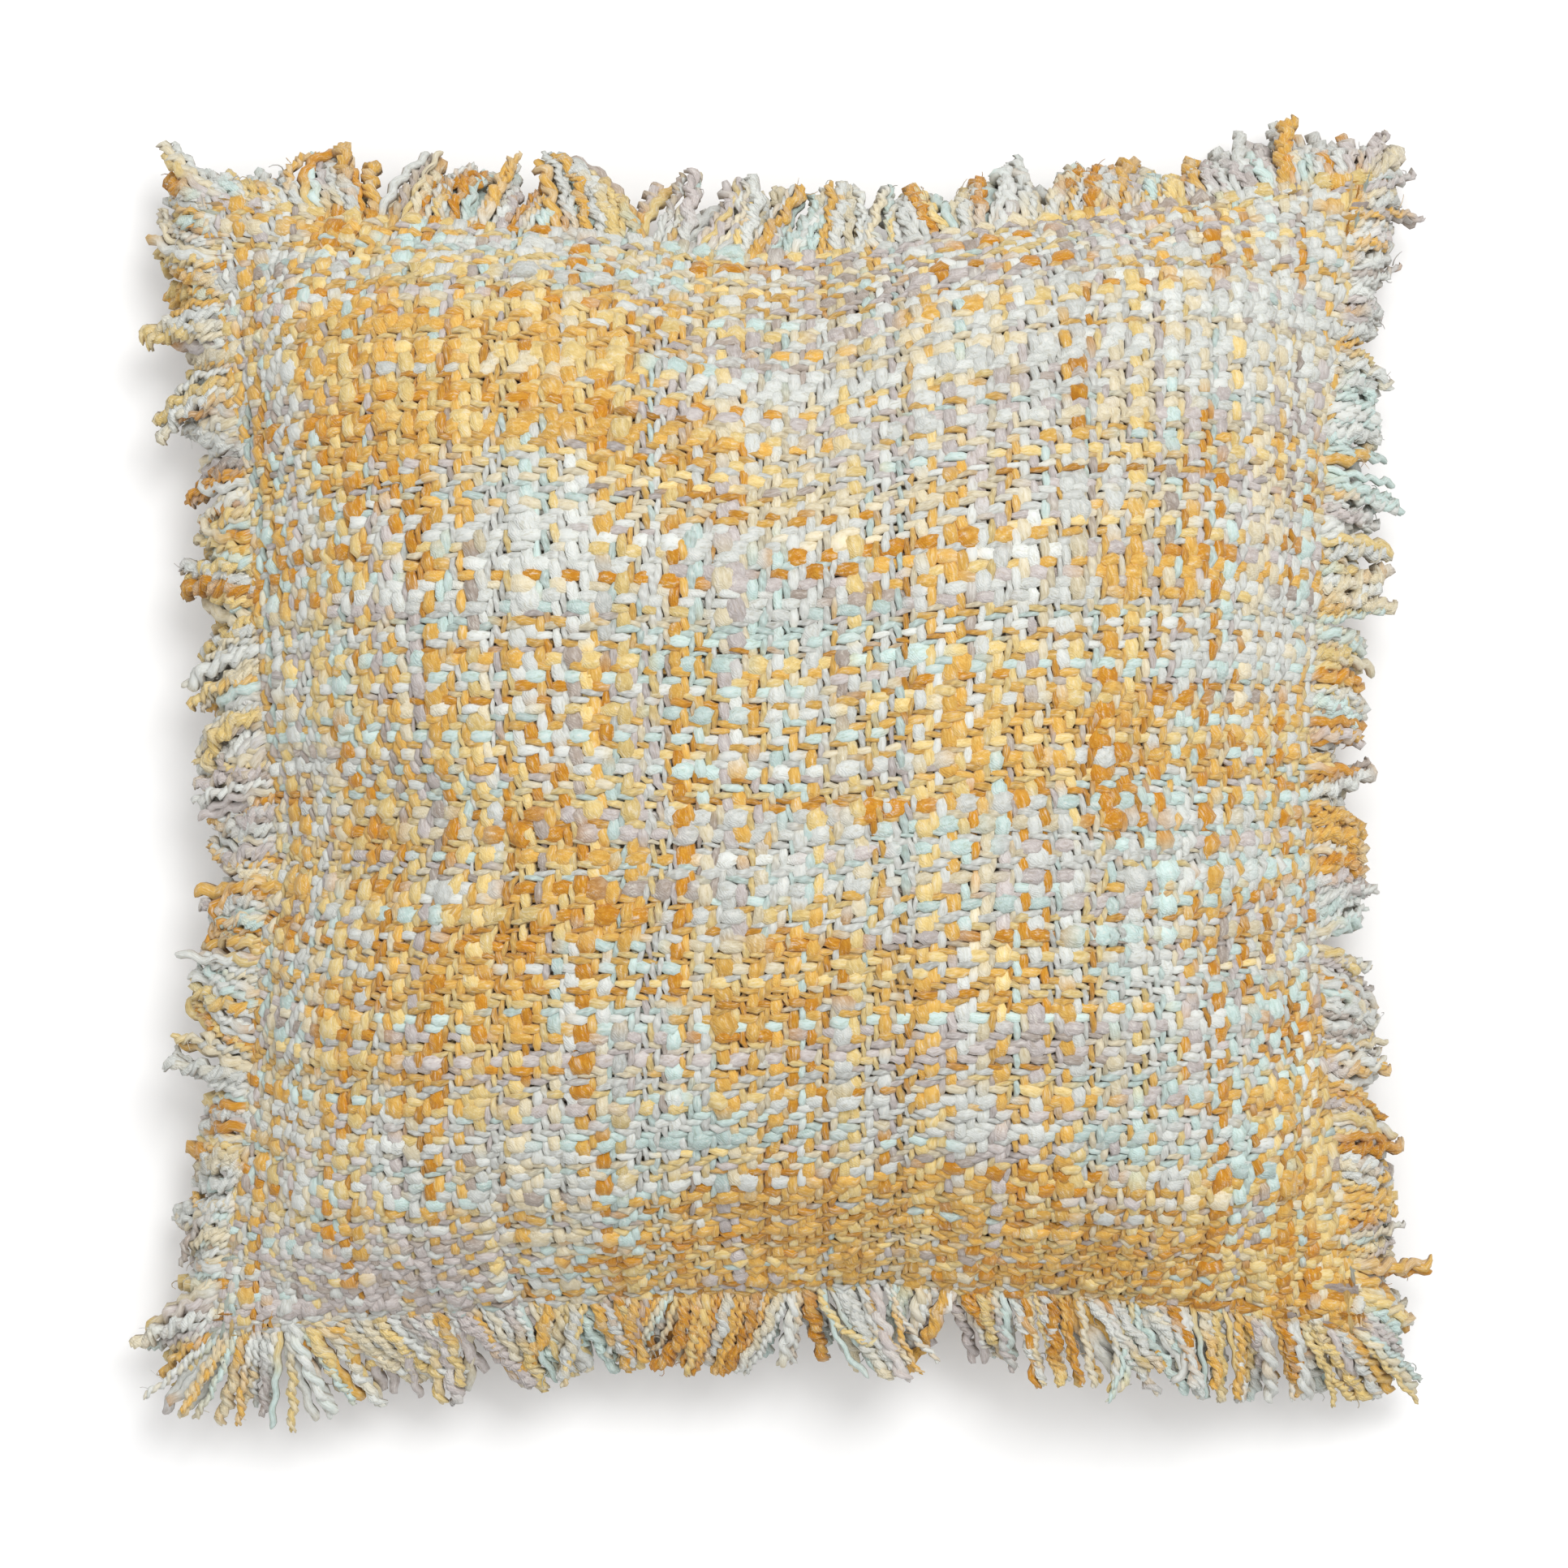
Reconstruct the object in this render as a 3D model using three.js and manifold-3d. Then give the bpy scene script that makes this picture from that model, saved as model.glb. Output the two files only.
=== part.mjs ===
// A square cushion cover of thick hand-loomed wool, filled and lying on its back.
// The frayed yarn ends of both panels stand out past the seam as a fringe on all four sides.
// Millimetres. X runs to the right and Y to the top of the front panel, and +Z points up.
// The origin is under the middle of the object's box, on the surface that it lies on.
import * as THREE from 'three';
import { ParametricGeometry } from 'three/addons/geometries/ParametricGeometry.js';
import { mergeGeometries, mergeVertices } from 'three/addons/utils/BufferGeometryUtils.js';
import Module from 'manifold-3d';

const wasm = await Module();
wasm.setup();

// The filled cover
const LOFT = 82; // crown of the front panel above the seam
const BELLY = 84; // depth of the back panel below the seam before the surface presses it flat
const PRESS = 6; // height over which the back panel rolls off the surface
const ROLL = THREE.MathUtils.degToRad(70); // how far a panel has turned from level at the seam
const SEAM_HEIGHT = 62; // seam above the surface at the middle of a side
const PANEL_CELLS = 30; // facets across a panel
const ROLL_STEPS = 48; // steps of the sums along a panel's roll

// The fringe
const SEAM_GAP = 0.3; // between the panels' edge and a fringe's strip
const STRIP_WIDTH = 4;
const STRIP_THICKNESS = 6; // both panels' frayed edges, one on the other
const STRANDS_PER_SIDE = 70;
const STRAND_RADIUS = 1.75;
const STRAND_SIDES = 3;
const STRAND_STEPS = 3;
const STRAND_LENGTH = 35; // past the strip
const LENGTH_SPREAD = 0.12; // share of its length that a strand may be longer or shorter
const BEND_AT = 0.2; // share of a strand that leaves its strip level before it droops
const ROOT_DEPTH = 2.2; // how far a strand starts inside its strip
const LAYER_RISE = 1.2; // the front panel's ends lie above the strip's middle, the back's below
const LAYER_SPREAD = THREE.MathUtils.degToRad(4); // and part by this angle each way
const SWAY = THREE.MathUtils.degToRad(9); // slow lean of the strands along a side
const CORNER_FAN = THREE.MathUtils.degToRad(36); // lean of a side's last strands to the corner
const LEAN_SPAN = 0.16; // share of a half side whose line sets which way a strand points

// Where the four corners of the seam lie, and how far each drops below the sides' middles
const CORNERS = {
  topLeft: { x: -225, y: 217, drop: 10 },
  topRight: { x: 222, y: 226, drop: 12 },
  bottomLeft: { x: -222, y: -220, drop: 14 },
  bottomRight: { x: 221, y: -217, drop: 11 },
};

// How each side of the seam draws in: an even bow, and a tighter tuck along part of it.
// Places along a side run from -1 to 1, to the right or upwards.
const SIDES = {
  top: { bow: 21, deepest: 0.0, roundness: 2.0, tuck: 9, tuckAt: 0.0, tuckReach: 0.26 },
  bottom: { bow: 19, deepest: 0.1, roundness: 2.0, tuck: 2, tuckAt: 0.2, tuckReach: 0.15 },
  left: { bow: 24, deepest: -0.05, roundness: 2.2, tuck: 6, tuckAt: -0.12, tuckReach: 0.14 },
  right: { bow: 23, deepest: 0.0, roundness: 2.5, tuck: 3, tuckAt: -0.02, tuckReach: 0.12 },
};

// How far the fringe reaches past the seam in plan, at six even places from a side's start.
// Its yarns are all about as long, so a short reach is a stretch that droops more.
const REACHES = {
  top: [24, 25, 27, 23, 19, 17],
  bottom: [38, 33, 30, 33, 39, 33],
  left: [20, 27, 30, 28, 24, 21],
  right: [20, 26, 21, 24, 19, 17],
};

// Lumps and hollows of the filling under the front panel, placed in panel coordinates
const LUMPS = [
  { u: -0.8, v: -0.1, reachU: 0.16, reachV: 0.22, rise: -7 },
  { u: -0.62, v: -0.36, reachU: 0.2, reachV: 0.16, rise: 4 },
  { u: 0.12, v: -0.8, reachU: 0.34, reachV: 0.13, rise: -5 },
  { u: 0.02, v: 0.82, reachU: 0.2, reachV: 0.16, rise: -6 },
  { u: 0.48, v: 0.42, reachU: 0.3, reachV: 0.26, rise: 4 },
  { u: -0.34, v: 0.38, reachU: 0.28, reachV: 0.22, rise: 3 },
  { u: 0.78, v: -0.28, reachU: 0.16, reachV: 0.2, rise: -4 },
  { u: 0.3, v: -0.42, reachU: 0.24, reachV: 0.2, rise: 3 },
];

// Sum along a panel from its middle to place t, with the panel turning more and more
function rolledSum(t, share) {
  let sum = 0;
  for (let i = 0; i < ROLL_STEPS; i++) {
    const along = (Math.abs(t) * (i + 0.5)) / ROLL_STEPS;
    sum += share(ROLL * along ** 2);
  }
  return (sum * Math.abs(t)) / ROLL_STEPS;
}

// Share of the half-width that a place on the panel has in plan
function planShare(t) {
  return (Math.sign(t) * rolledSum(t, Math.cos)) / rolledSum(1, Math.cos);
}

// Share of the loft that a place on the panel has: 1 in the middle, 0 at the seam
function loftShare(t) {
  return 1 - rolledSum(t, Math.sin) / rolledSum(1, Math.sin);
}

// How far a side draws in from the straight line between its corners, at place t
function drawnIn(side, t) {
  const reach = t < side.deepest ? 1 + side.deepest : 1 - side.deepest;
  const bow = side.bow * (1 - Math.abs((t - side.deepest) / reach) ** side.roundness);
  const tuck = side.tuck * Math.exp(-(((t - side.tuckAt) / side.tuckReach) ** 2));
  return bow + tuck * (1 - t * t);
}

// The two ends of a coordinate across the panel, from the seam's sides
function across(v) {
  const high = (1 + v) / 2;
  const left = THREE.MathUtils.lerp(CORNERS.bottomLeft.x, CORNERS.topLeft.x, high);
  const right = THREE.MathUtils.lerp(CORNERS.bottomRight.x, CORNERS.topRight.x, high);
  return [left + drawnIn(SIDES.left, v), right - drawnIn(SIDES.right, v)];
}

function upAndDown(u) {
  const right = (1 + u) / 2;
  const bottom = THREE.MathUtils.lerp(CORNERS.bottomLeft.y, CORNERS.bottomRight.y, right);
  const top = THREE.MathUtils.lerp(CORNERS.topLeft.y, CORNERS.topRight.y, right);
  return [bottom + drawnIn(SIDES.bottom, u), top - drawnIn(SIDES.top, u)];
}

// A coordinate between two ends: rolled over the crown, and even along the sides beside it
function between(ends, t, besideSeam) {
  const share = THREE.MathUtils.lerp(planShare(t), t, besideSeam);
  return (ends[0] + ends[1]) / 2 + (share * (ends[1] - ends[0])) / 2;
}

function seamHeight(u, v) {
  const right = (1 + u) / 2;
  const high = (1 + v) / 2;
  const low = THREE.MathUtils.lerp(CORNERS.bottomLeft.drop, CORNERS.bottomRight.drop, right);
  const top = THREE.MathUtils.lerp(CORNERS.topLeft.drop, CORNERS.topRight.drop, right);
  return SEAM_HEIGHT - THREE.MathUtils.lerp(low, top, high) * (u * v) ** 2;
}

function lumpRise(u, v) {
  let rise = 0;
  for (const lump of LUMPS) {
    const far = ((u - lump.u) / lump.reachU) ** 2 + ((v - lump.v) / lump.reachV) ** 2;
    rise += lump.rise * Math.exp(-far);
  }
  return rise * (1 - u ** 4) * (1 - v ** 4);
}

// Height of the back panel: it hangs below the seam and is pressed flat where it lies
function pressedFlat(height) {
  if (height > PRESS) return height;
  return height < -PRESS ? 0 : (height + PRESS) ** 2 / (4 * PRESS);
}

// A point of the front or back panel. Panel coordinates u and v run from -1 to 1.
function panelPoint(u, v, isFront, target) {
  const x = between(across(v), u, Math.abs(v) ** 4);
  const y = between(upAndDown(u), v, Math.abs(u) ** 4);
  const loft = loftShare(u) * loftShare(v);
  const seam = seamHeight(u, v);
  const z = isFront ? seam + LOFT * loft + lumpRise(u, v) : pressedFlat(seam - BELLY * loft);
  return target.set(x, y, z);
}

function panel(isFront) {
  const facing = isFront ? 1 : -1;
  const place = (a, b, target) => panelPoint(facing * (2 * a - 1), 2 * b - 1, isFront, target);
  return new ParametricGeometry(place, PANEL_CELLS, PANEL_CELLS);
}

// One closed mesh with shared vertices, with nothing but its positions kept
function weld(geometry) {
  geometry.deleteAttribute('normal');
  geometry.deleteAttribute('uv');
  return mergeVertices(geometry, 1e-4);
}

// The seam at place t of a side: its point, and the ways along it and out of it over a span
function seamFrame(sideName, t, span) {
  const point = (place) => {
    const ends = { top: [place, 1], bottom: [place, -1], left: [-1, place], right: [1, place] };
    return panelPoint(...ends[sideName], true, new THREE.Vector3());
  };
  const along = point(Math.min(t + span, 1)).sub(point(Math.max(t - span, -1))).setZ(0).normalize();
  const turn = sideName === 'top' || sideName === 'left' ? 1 : -1;
  const out = new THREE.Vector3(-along.y, along.x, 0).multiplyScalar(turn);
  return { at: point(t), along, out };
}

// The strip that a fringe hangs from: a long box bent along the seam
function strip(sideName) {
  const box = new THREE.BoxGeometry(2, STRIP_WIDTH, STRIP_THICKNESS, PANEL_CELLS, 1, 1);
  const turnsOver = sideName === 'bottom' || sideName === 'right';
  const place = box.attributes.position;
  for (let i = 0; i < place.count; i++) {
    const seam = seamFrame(sideName, turnsOver ? -place.getX(i) : place.getX(i), 1 / PANEL_CELLS);
    const outward = SEAM_GAP + STRIP_WIDTH / 2 + place.getY(i);
    const spot = seam.at.addScaledVector(seam.out, outward);
    place.setXYZ(i, spot.x, spot.y, spot.z + place.getZ(i));
  }
  return weld(box);
}

// An even, repeatable scatter from 0 to 1
function scatter(index, salt) {
  const wave = Math.sin(index * 12.9898 + salt * 78.233) * 43758.5453;
  return wave - Math.floor(wave);
}

// Reach of the fringe in plan at place t of a side, read between its places in the table
function fringeReach(sideName, t) {
  const reaches = REACHES[sideName];
  const place = ((t + 1) / 2) * (reaches.length - 1);
  const before = Math.min(Math.floor(place), reaches.length - 2);
  return THREE.MathUtils.lerp(reaches[before], reaches[before + 1], place - before);
}

// One frayed yarn end: a short tube that leaves the strip level and droops
function strand(sideName, index, salt) {
  const t = (2 * (index + 0.5)) / STRANDS_PER_SIDE - 1;
  const seam = seamFrame(sideName, t, LEAN_SPAN);
  const layer = index % 2 === 0 ? 1 : -1;
  const slowWave = Math.sin(index * 0.37 + salt) + 0.5 * Math.sin(index * 0.61 + 2 * salt);
  const lean = SWAY * slowWave * (1 - t ** 6) + CORNER_FAN * Math.sign(t) * Math.abs(t) ** 9;
  const length = STRAND_LENGTH * (1 + LENGTH_SPREAD * (2 * scatter(index, salt) - 1));
  const past = (fringeReach(sideName, t) - SEAM_GAP - STRIP_WIDTH) / STRAND_LENGTH;
  const levelShare = Math.min((past - BEND_AT) / (1 - BEND_AT), 1);
  const droop = Math.acos(levelShare) - layer * LAYER_SPREAD;

  const level = seam.out.clone().multiplyScalar(Math.cos(lean));
  level.addScaledVector(seam.along, Math.sin(lean));
  const inStrip = SEAM_GAP + STRIP_WIDTH - ROOT_DEPTH;
  const root = seam.at.addScaledVector(seam.out, inStrip);
  root.z += layer * LAYER_RISE;
  const bend = root.clone().addScaledVector(level, ROOT_DEPTH + length * BEND_AT);
  const tip = bend.clone().addScaledVector(level, length * (1 - BEND_AT) * Math.cos(droop));
  tip.z -= length * (1 - BEND_AT) * Math.sin(droop);

  const section = new THREE.Shape();
  for (let i = 0; i < STRAND_SIDES; i++) {
    const angle = (2 * Math.PI * i) / STRAND_SIDES;
    const corner = [STRAND_RADIUS * Math.cos(angle), STRAND_RADIUS * Math.sin(angle)];
    if (i === 0) section.moveTo(...corner);
    else section.lineTo(...corner);
  }
  const extrudePath = new THREE.QuadraticBezierCurve3(root, bend, tip);
  const sweep = { steps: STRAND_STEPS, bevelEnabled: false, extrudePath };
  return weld(new THREE.ExtrudeGeometry(section, sweep));
}

function toSolid(geometry) {
  const vertProperties = Float32Array.from(geometry.attributes.position.array);
  const triVerts = Uint32Array.from(geometry.index.array);
  return new wasm.Manifold(new wasm.Mesh({ numProp: 3, vertProperties, triVerts }));
}

function toGeometry(solid) {
  const mesh = solid.getMesh();
  const geometry = new THREE.BufferGeometry();
  geometry.setAttribute('position', new THREE.BufferAttribute(mesh.vertProperties, 3));
  geometry.setIndex(new THREE.BufferAttribute(mesh.triVerts, 1));
  geometry.computeVertexNormals();
  return geometry;
}

function fringe(sideName, salt) {
  let solid = toSolid(strip(sideName));
  for (let index = 0; index < STRANDS_PER_SIDE; index++) {
    solid = solid.add(toSolid(strand(sideName, index, salt)));
  }
  return toGeometry(solid);
}

function piece(name, geometry, material) {
  const mesh = new THREE.Mesh(geometry, material);
  mesh.name = name;
  return mesh;
}

const cloth = new THREE.MeshStandardMaterial({ color: 0xcebb9a, roughness: 0.95, metalness: 0 });
const yarn = new THREE.MeshStandardMaterial({ color: 0xd2b585, roughness: 0.95, metalness: 0 });

const cushionCover = new THREE.Group();
const filledCover = weld(mergeGeometries([panel(true), panel(false)]));
filledCover.computeVertexNormals();
cushionCover.add(piece('cushion', filledCover, cloth));
Object.keys(SIDES).forEach((sideName, salt) => {
  cushionCover.add(piece(`fringe_${sideName}`, fringe(sideName, salt + 1), yarn));
});

// Centre the whole object over the origin
const middle = new THREE.Box3().setFromObject(cushionCover).getCenter(new THREE.Vector3());
cushionCover.position.set(-middle.x, -middle.y, 0);

export default cushionCover;
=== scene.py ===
"""The looks of a square fringed cushion cover, shown filled and lying on its back.

Both panels are woven yarn by yarn in a two-up, two-down twill of thick and thin wool, over a
padded form, and every yarn's frayed end stands out past the seam as a strand of the fringe.
All lengths are in metres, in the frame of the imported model, unless a name says millimetres.
"""

import math

import bmesh
import bpy
import numpy as np
from bpy.props import FloatProperty, FloatVectorProperty, IntProperty, PointerProperty
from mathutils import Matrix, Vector


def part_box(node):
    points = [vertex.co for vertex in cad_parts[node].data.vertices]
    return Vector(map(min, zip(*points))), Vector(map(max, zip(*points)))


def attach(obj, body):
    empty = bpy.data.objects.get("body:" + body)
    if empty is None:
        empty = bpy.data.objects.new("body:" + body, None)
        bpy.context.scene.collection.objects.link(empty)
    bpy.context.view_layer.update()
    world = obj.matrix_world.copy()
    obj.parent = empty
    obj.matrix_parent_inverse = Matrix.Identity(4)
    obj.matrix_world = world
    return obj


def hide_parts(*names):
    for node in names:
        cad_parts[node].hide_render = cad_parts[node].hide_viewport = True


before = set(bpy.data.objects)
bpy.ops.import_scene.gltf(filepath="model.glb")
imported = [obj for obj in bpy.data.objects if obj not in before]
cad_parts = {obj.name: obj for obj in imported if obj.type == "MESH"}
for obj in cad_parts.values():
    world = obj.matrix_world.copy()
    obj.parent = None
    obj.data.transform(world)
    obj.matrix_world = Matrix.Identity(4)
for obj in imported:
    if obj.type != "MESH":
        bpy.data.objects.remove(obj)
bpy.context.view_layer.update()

bl_info = {
    "name": "Fringed cushion cover",
    "version": (1, 0, 0),
    "blender": (4, 5, 0),
    "location": "3D View > Sidebar > Cushion",
    "description": "Weaves a fringed wool cushion cover over a padded form",
    "category": "Add Mesh",
}


def table(columns, *rows):
    """A table's rows as dictionaries, under the names of its columns."""
    return [dict(zip(columns.split(), row)) for row in rows]


MM = 0.001
PHOTO_SIDE = 1932  # pixels across the square photograph

# Where the seam's corners lie in millimetres, and how far each drops below the sides' middles
CORNERS = {
    "top_left": {"x": -225, "y": 217, "drop": 10},
    "top_right": {"x": 222, "y": 226, "drop": 12},
    "bottom_left": {"x": -222, "y": -220, "drop": 14},
    "bottom_right": {"x": 221, "y": -217, "drop": 11},
}

# How each side of the seam draws in, in millimetres: an even bow, and a tuck along part of it
SIDES = {
    "top": {"bow": 21, "deepest": 0.0, "roundness": 2.0, "tuck": 9, "tuck_at": 0.0, "reach": 0.26},
    "bottom": {"bow": 19, "deepest": 0.1, "roundness": 2.0, "tuck": 2, "tuck_at": 0.2, "reach": 0.15},
    "left": {"bow": 24, "deepest": -0.05, "roundness": 2.2, "tuck": 6, "tuck_at": -0.12, "reach": 0.14},
    "right": {"bow": 23, "deepest": 0.0, "roundness": 2.5, "tuck": 3, "tuck_at": -0.02, "reach": 0.12},
}

# How far the fringe reaches past the seam in plan, in millimetres, at six even places of a side
REACHES = {
    "top": [16, 25, 27, 23, 16, 14],
    "bottom": [37, 33, 30, 33, 38, 28],
    "left": [20, 27, 30, 28, 24, 21],
    "right": [20, 26, 21, 24, 19, 17],
}

# Lumps and hollows of the filling under the front panel, in panel coordinates and millimetres
LUMPS = table(
    "u v reach_u reach_v rise",
    (-0.8, -0.1, 0.16, 0.22, -7),
    (-0.62, -0.36, 0.2, 0.16, 4),
    (0.12, -0.8, 0.34, 0.13, -5),
    (0.02, 0.82, 0.2, 0.16, -6),
    (0.48, 0.42, 0.3, 0.26, 4),
    (-0.34, 0.38, 0.28, 0.22, 3),
    (0.78, -0.28, 0.16, 0.2, -4),
    (0.3, -0.42, 0.24, 0.2, 3),
)

# The yarns on the loom: share of the ends, radius in millimetres, height over width,
# how plainly two plies show, how fluffy it is, and how far it wavers sideways
YARN_SORTS = table(
    "name share radius height ply fluff waver",
    ("two-ply", 0.42, 1.34, 0.80, 0.7, 0.1, 0.42),
    ("medium", 0.22, 1.75, 0.72, 0.3, 0.25, 0.32),
    ("roving", 0.16, 2.35, 0.62, 0.0, 0.1, 0.2),
    ("looped", 0.20, 2.95, 0.70, 0.0, 1.0, 0.35),
)

# How often each dye comes along a yarn
DYE_SHARES = {
    "amber": 0.10,
    "mustard": 0.17,
    "straw": 0.16,
    "cream": 0.13,
    "white": 0.19,
    "aqua": 0.11,
    "grey": 0.10,
    "stone": 0.04,
}
DYE_NAMES = list(DYE_SHARES)
HUES = {
    "gold": {"amber": 0.75, "mustard": 0.9, "straw": 0.8},
    "deep": {"amber": 1.3, "mustard": 0.8, "stone": 0.6},
    "pale": {"white": 1.0, "cream": 0.8, "grey": 0.5},
    "grey": {"grey": 1.0, "stone": 0.9, "white": 0.4},
    "aqua": {"aqua": 1.1, "white": 0.9},
    "straw": {"straw": 1.1, "cream": 0.8, "mustard": 0.6, "white": 0.2},
    "bright": {"white": 1.2, "aqua": 0.5, "cream": 0.3},
}

# Where the dyes gather on the front panel: middle, half size, which yarns, hue and strength
DYE_PLACES = table(
    "u v half_u half_v yarns hue pull",
    (-0.88, 0.9, 0.12, 0.1, "both", "pale", 0.8),
    (-0.76, 0.93, 0.03, 0.04, "both", "deep", 2.5),
    (-0.45, 0.92, 0.3, 0.07, "both", "aqua", 0.7),
    (0.35, 0.92, 0.35, 0.1, "both", "grey", 1.0),
    (0.88, 0.8, 0.14, 0.22, "both", "pale", 1.0),
    (-0.48, 0.68, 0.26, 0.14, "both", "gold", 1.4),
    (-0.62, 0.64, 0.12, 0.14, "warp", "gold", 1.2),
    (-0.32, 0.53, 0.44, 0.05, "weft", "gold", 1.8),
    (0.42, 0.66, 0.46, 0.16, "both", "pale", 1.3),
    (0.3, 0.62, 0.2, 0.1, "both", "grey", 0.5),
    (-0.39, 0.38, 0.12, 0.12, "both", "bright", 1.7),
    (-0.02, 0.3, 0.12, 0.1, "both", "bright", 1.7),
    (-0.62, 0.36, 0.1, 0.1, "both", "pale", 0.6),
    (0.4, 0.36, 0.12, 0.12, "both", "pale", 0.8),
    (0.85, 0.3, 0.14, 0.14, "both", "pale", 1.0),
    (-0.03, 0.2, 0.96, 0.012, "weft", "aqua", 2.0),
    (-0.96, 0.05, 0.1, 0.12, "both", "grey", 1.6),
    (0.38, 0.09, 0.2, 0.06, "both", "gold", 1.6),
    (0.76, 0.05, 0.24, 0.05, "both", "gold", 1.8),
    (0.76, 0.18, 0.22, 0.05, "both", "pale", 0.8),
    (-0.8, -0.1, 0.16, 0.07, "both", "gold", 1.0),
    (-0.37, -0.13, 0.11, 0.1, "both", "gold", 1.6),
    (-0.42, -0.2, 0.05, 0.04, "both", "aqua", 1.6),
    (0.0, -0.17, 0.06, 0.07, "both", "aqua", 2.0),
    (0.39, -0.025, 0.14, 0.03, "weft", "gold", 2.2),
    (0.14, -0.06, 0.12, 0.05, "both", "gold", 0.8),
    (0.4, -0.15, 0.12, 0.06, "both", "pale", 1.0),
    (0.64, -0.12, 0.13, 0.08, "both", "aqua", 1.0),
    (-0.46, -0.36, 0.14, 0.1, "both", "gold", 1.6),
    (-0.68, -0.38, 0.09, 0.07, "both", "gold", 0.9),
    (0.1, -0.34, 0.14, 0.12, "both", "gold", 0.7),
    (0.69, -0.38, 0.17, 0.11, "both", "aqua", 1.0),
    (0.74, -0.4, 0.13, 0.1, "both", "grey", 0.8),
    (-0.8, -0.6, 0.1, 0.08, "both", "gold", 0.8),
    (-0.52, -0.62, 0.22, 0.09, "both", "pale", 1.2),
    (-0.17, -0.58, 0.08, 0.06, "both", "aqua", 2.0),
    (0.1, -0.56, 0.2, 0.03, "weft", "aqua", 2.0),
    (0.35, -0.6, 0.13, 0.07, "both", "grey", 1.2),
    (0.64, -0.6, 0.1, 0.08, "both", "aqua", 0.9),
    (0.92, -0.6, 0.1, 0.16, "both", "gold", 1.4),
    (0.25, -0.72, 0.36, 0.05, "both", "gold", 1.0),
    (-0.66, -0.88, 0.28, 0.11, "both", "grey", 1.7),
    (0.5, -0.87, 0.5, 0.12, "both", "gold", 1.5),
    (-0.12, -0.86, 0.14, 0.1, "both", "gold", 0.6),
)

# Thick looped warps of the front panel that show as streaks, and the stretch they show for
STREAKS = table(
    "u low high hue",
    (-0.7, 0.35, 0.8, "gold"),
    (-0.6, 0.35, 0.88, "gold"),
    (-0.57, -0.05, 0.2, "gold"),
    (-0.55, -0.48, -0.28, "gold"),
    (-0.5, 0.5, 0.85, "gold"),
    (-0.37, -0.58, -0.28, "pale"),
    (-0.33, -0.5, 0.22, "gold"),
    (-0.3, 0.45, 0.85, "gold"),
    (-0.18, 0.02, 0.5, "gold"),
    (-0.1, -0.52, -0.24, "gold"),
    (-0.09, 0.0, 0.16, "gold"),
    (-0.02, -0.1, 0.2, "aqua"),
    (0.22, -0.46, 0.05, "gold"),
    (0.265, 0.08, 0.64, "gold"),
    (0.27, -0.56, -0.26, "pale"),
    (0.325, -0.55, -0.22, "gold"),
    (0.43, 0.5, 0.8, "gold"),
    (0.55, 0.14, 0.85, "gold"),
    (0.62, -0.75, -0.56, "gold"),
    (0.71, -0.47, 0.05, "gold"),
    (-0.49, -0.05, 0.46, "bright"),
    (-0.42, 0.15, 0.58, "bright"),
    (0.66, -0.25, 0.14, "aqua"),
    (0.80, -0.40, 0.10, "bright"),
    (-0.80, -0.35, 0.40, "straw"),
)
STREAK_PULL = 3.5

# The fringe's dyes by stretch of each side, from its start at the left or the bottom
FRINGE_PLACES = {
    "top": table(
        "from to hue pull",
        (-1.00, -0.86, "bright", 1.6),
        (-0.62, -0.50, "aqua", 1.2),
        (-0.42, -0.26, "gold", 1.3),
        (-0.26, -0.12, "grey", 1.2),
        (0.02, 0.16, "pale", 1.2),
        (0.38, 0.66, "gold", 0.9),
        (0.78, 1.00, "grey", 1.2),
    ),
    "bottom": table(
        "from to hue pull",
        (-0.98, -0.86, "bright", 0.8),
        (-0.84, -0.76, "gold", 1.0),
        (-0.72, -0.44, "grey", 0.9),
        (-0.34, -0.12, "gold", 1.0),
        (-0.06, 0.20, "bright", 0.6),
        (0.26, 0.50, "deep", 0.9),
        (0.54, 0.70, "bright", 1.0),
        (0.78, 1.00, "gold", 0.9),
    ),
    "left": table(
        "from to hue pull",
        (-0.94, -0.70, "bright", 0.8),
        (-0.70, -0.58, "deep", 1.0),
        (-0.56, -0.26, "gold", 1.0),
        (-0.20, 0.12, "grey", 1.6),
        (0.14, 0.42, "straw", 1.6),
        (0.44, 0.60, "pale", 1.4),
        (0.60, 0.92, "straw", 1.3),
    ),
    "right": table(
        "from to hue pull",
        (-1.00, -0.48, "gold", 1.1),
        (-0.46, -0.22, "grey", 1.3),
        (-0.20, 0.20, "gold", 1.4),
        (0.28, 0.42, "grey", 0.6),
        (0.42, 0.72, "aqua", 2.0),
        (0.72, 1.00, "grey", 2.0),
    ),
}
FRINGE_PULL = 0.6

# How far the strands lean along each side, in degrees, at even places from the left or the bottom
LEANS = {
    "top": [-28, -38, 32, 14, 25, 34, 6, 8, 14, 0, 8],
    "bottom": [-20, 22, 10, 8, -10, 0, 8, 20, 36, 14, 26],
    "left": [-10, -14, -6, -2, -8, -6, -4, 0, 4, 6, 12],
    "right": [-24, -12, -8, -4, -8, -4, -6, -2, 4, 2, 10],
}

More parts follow.
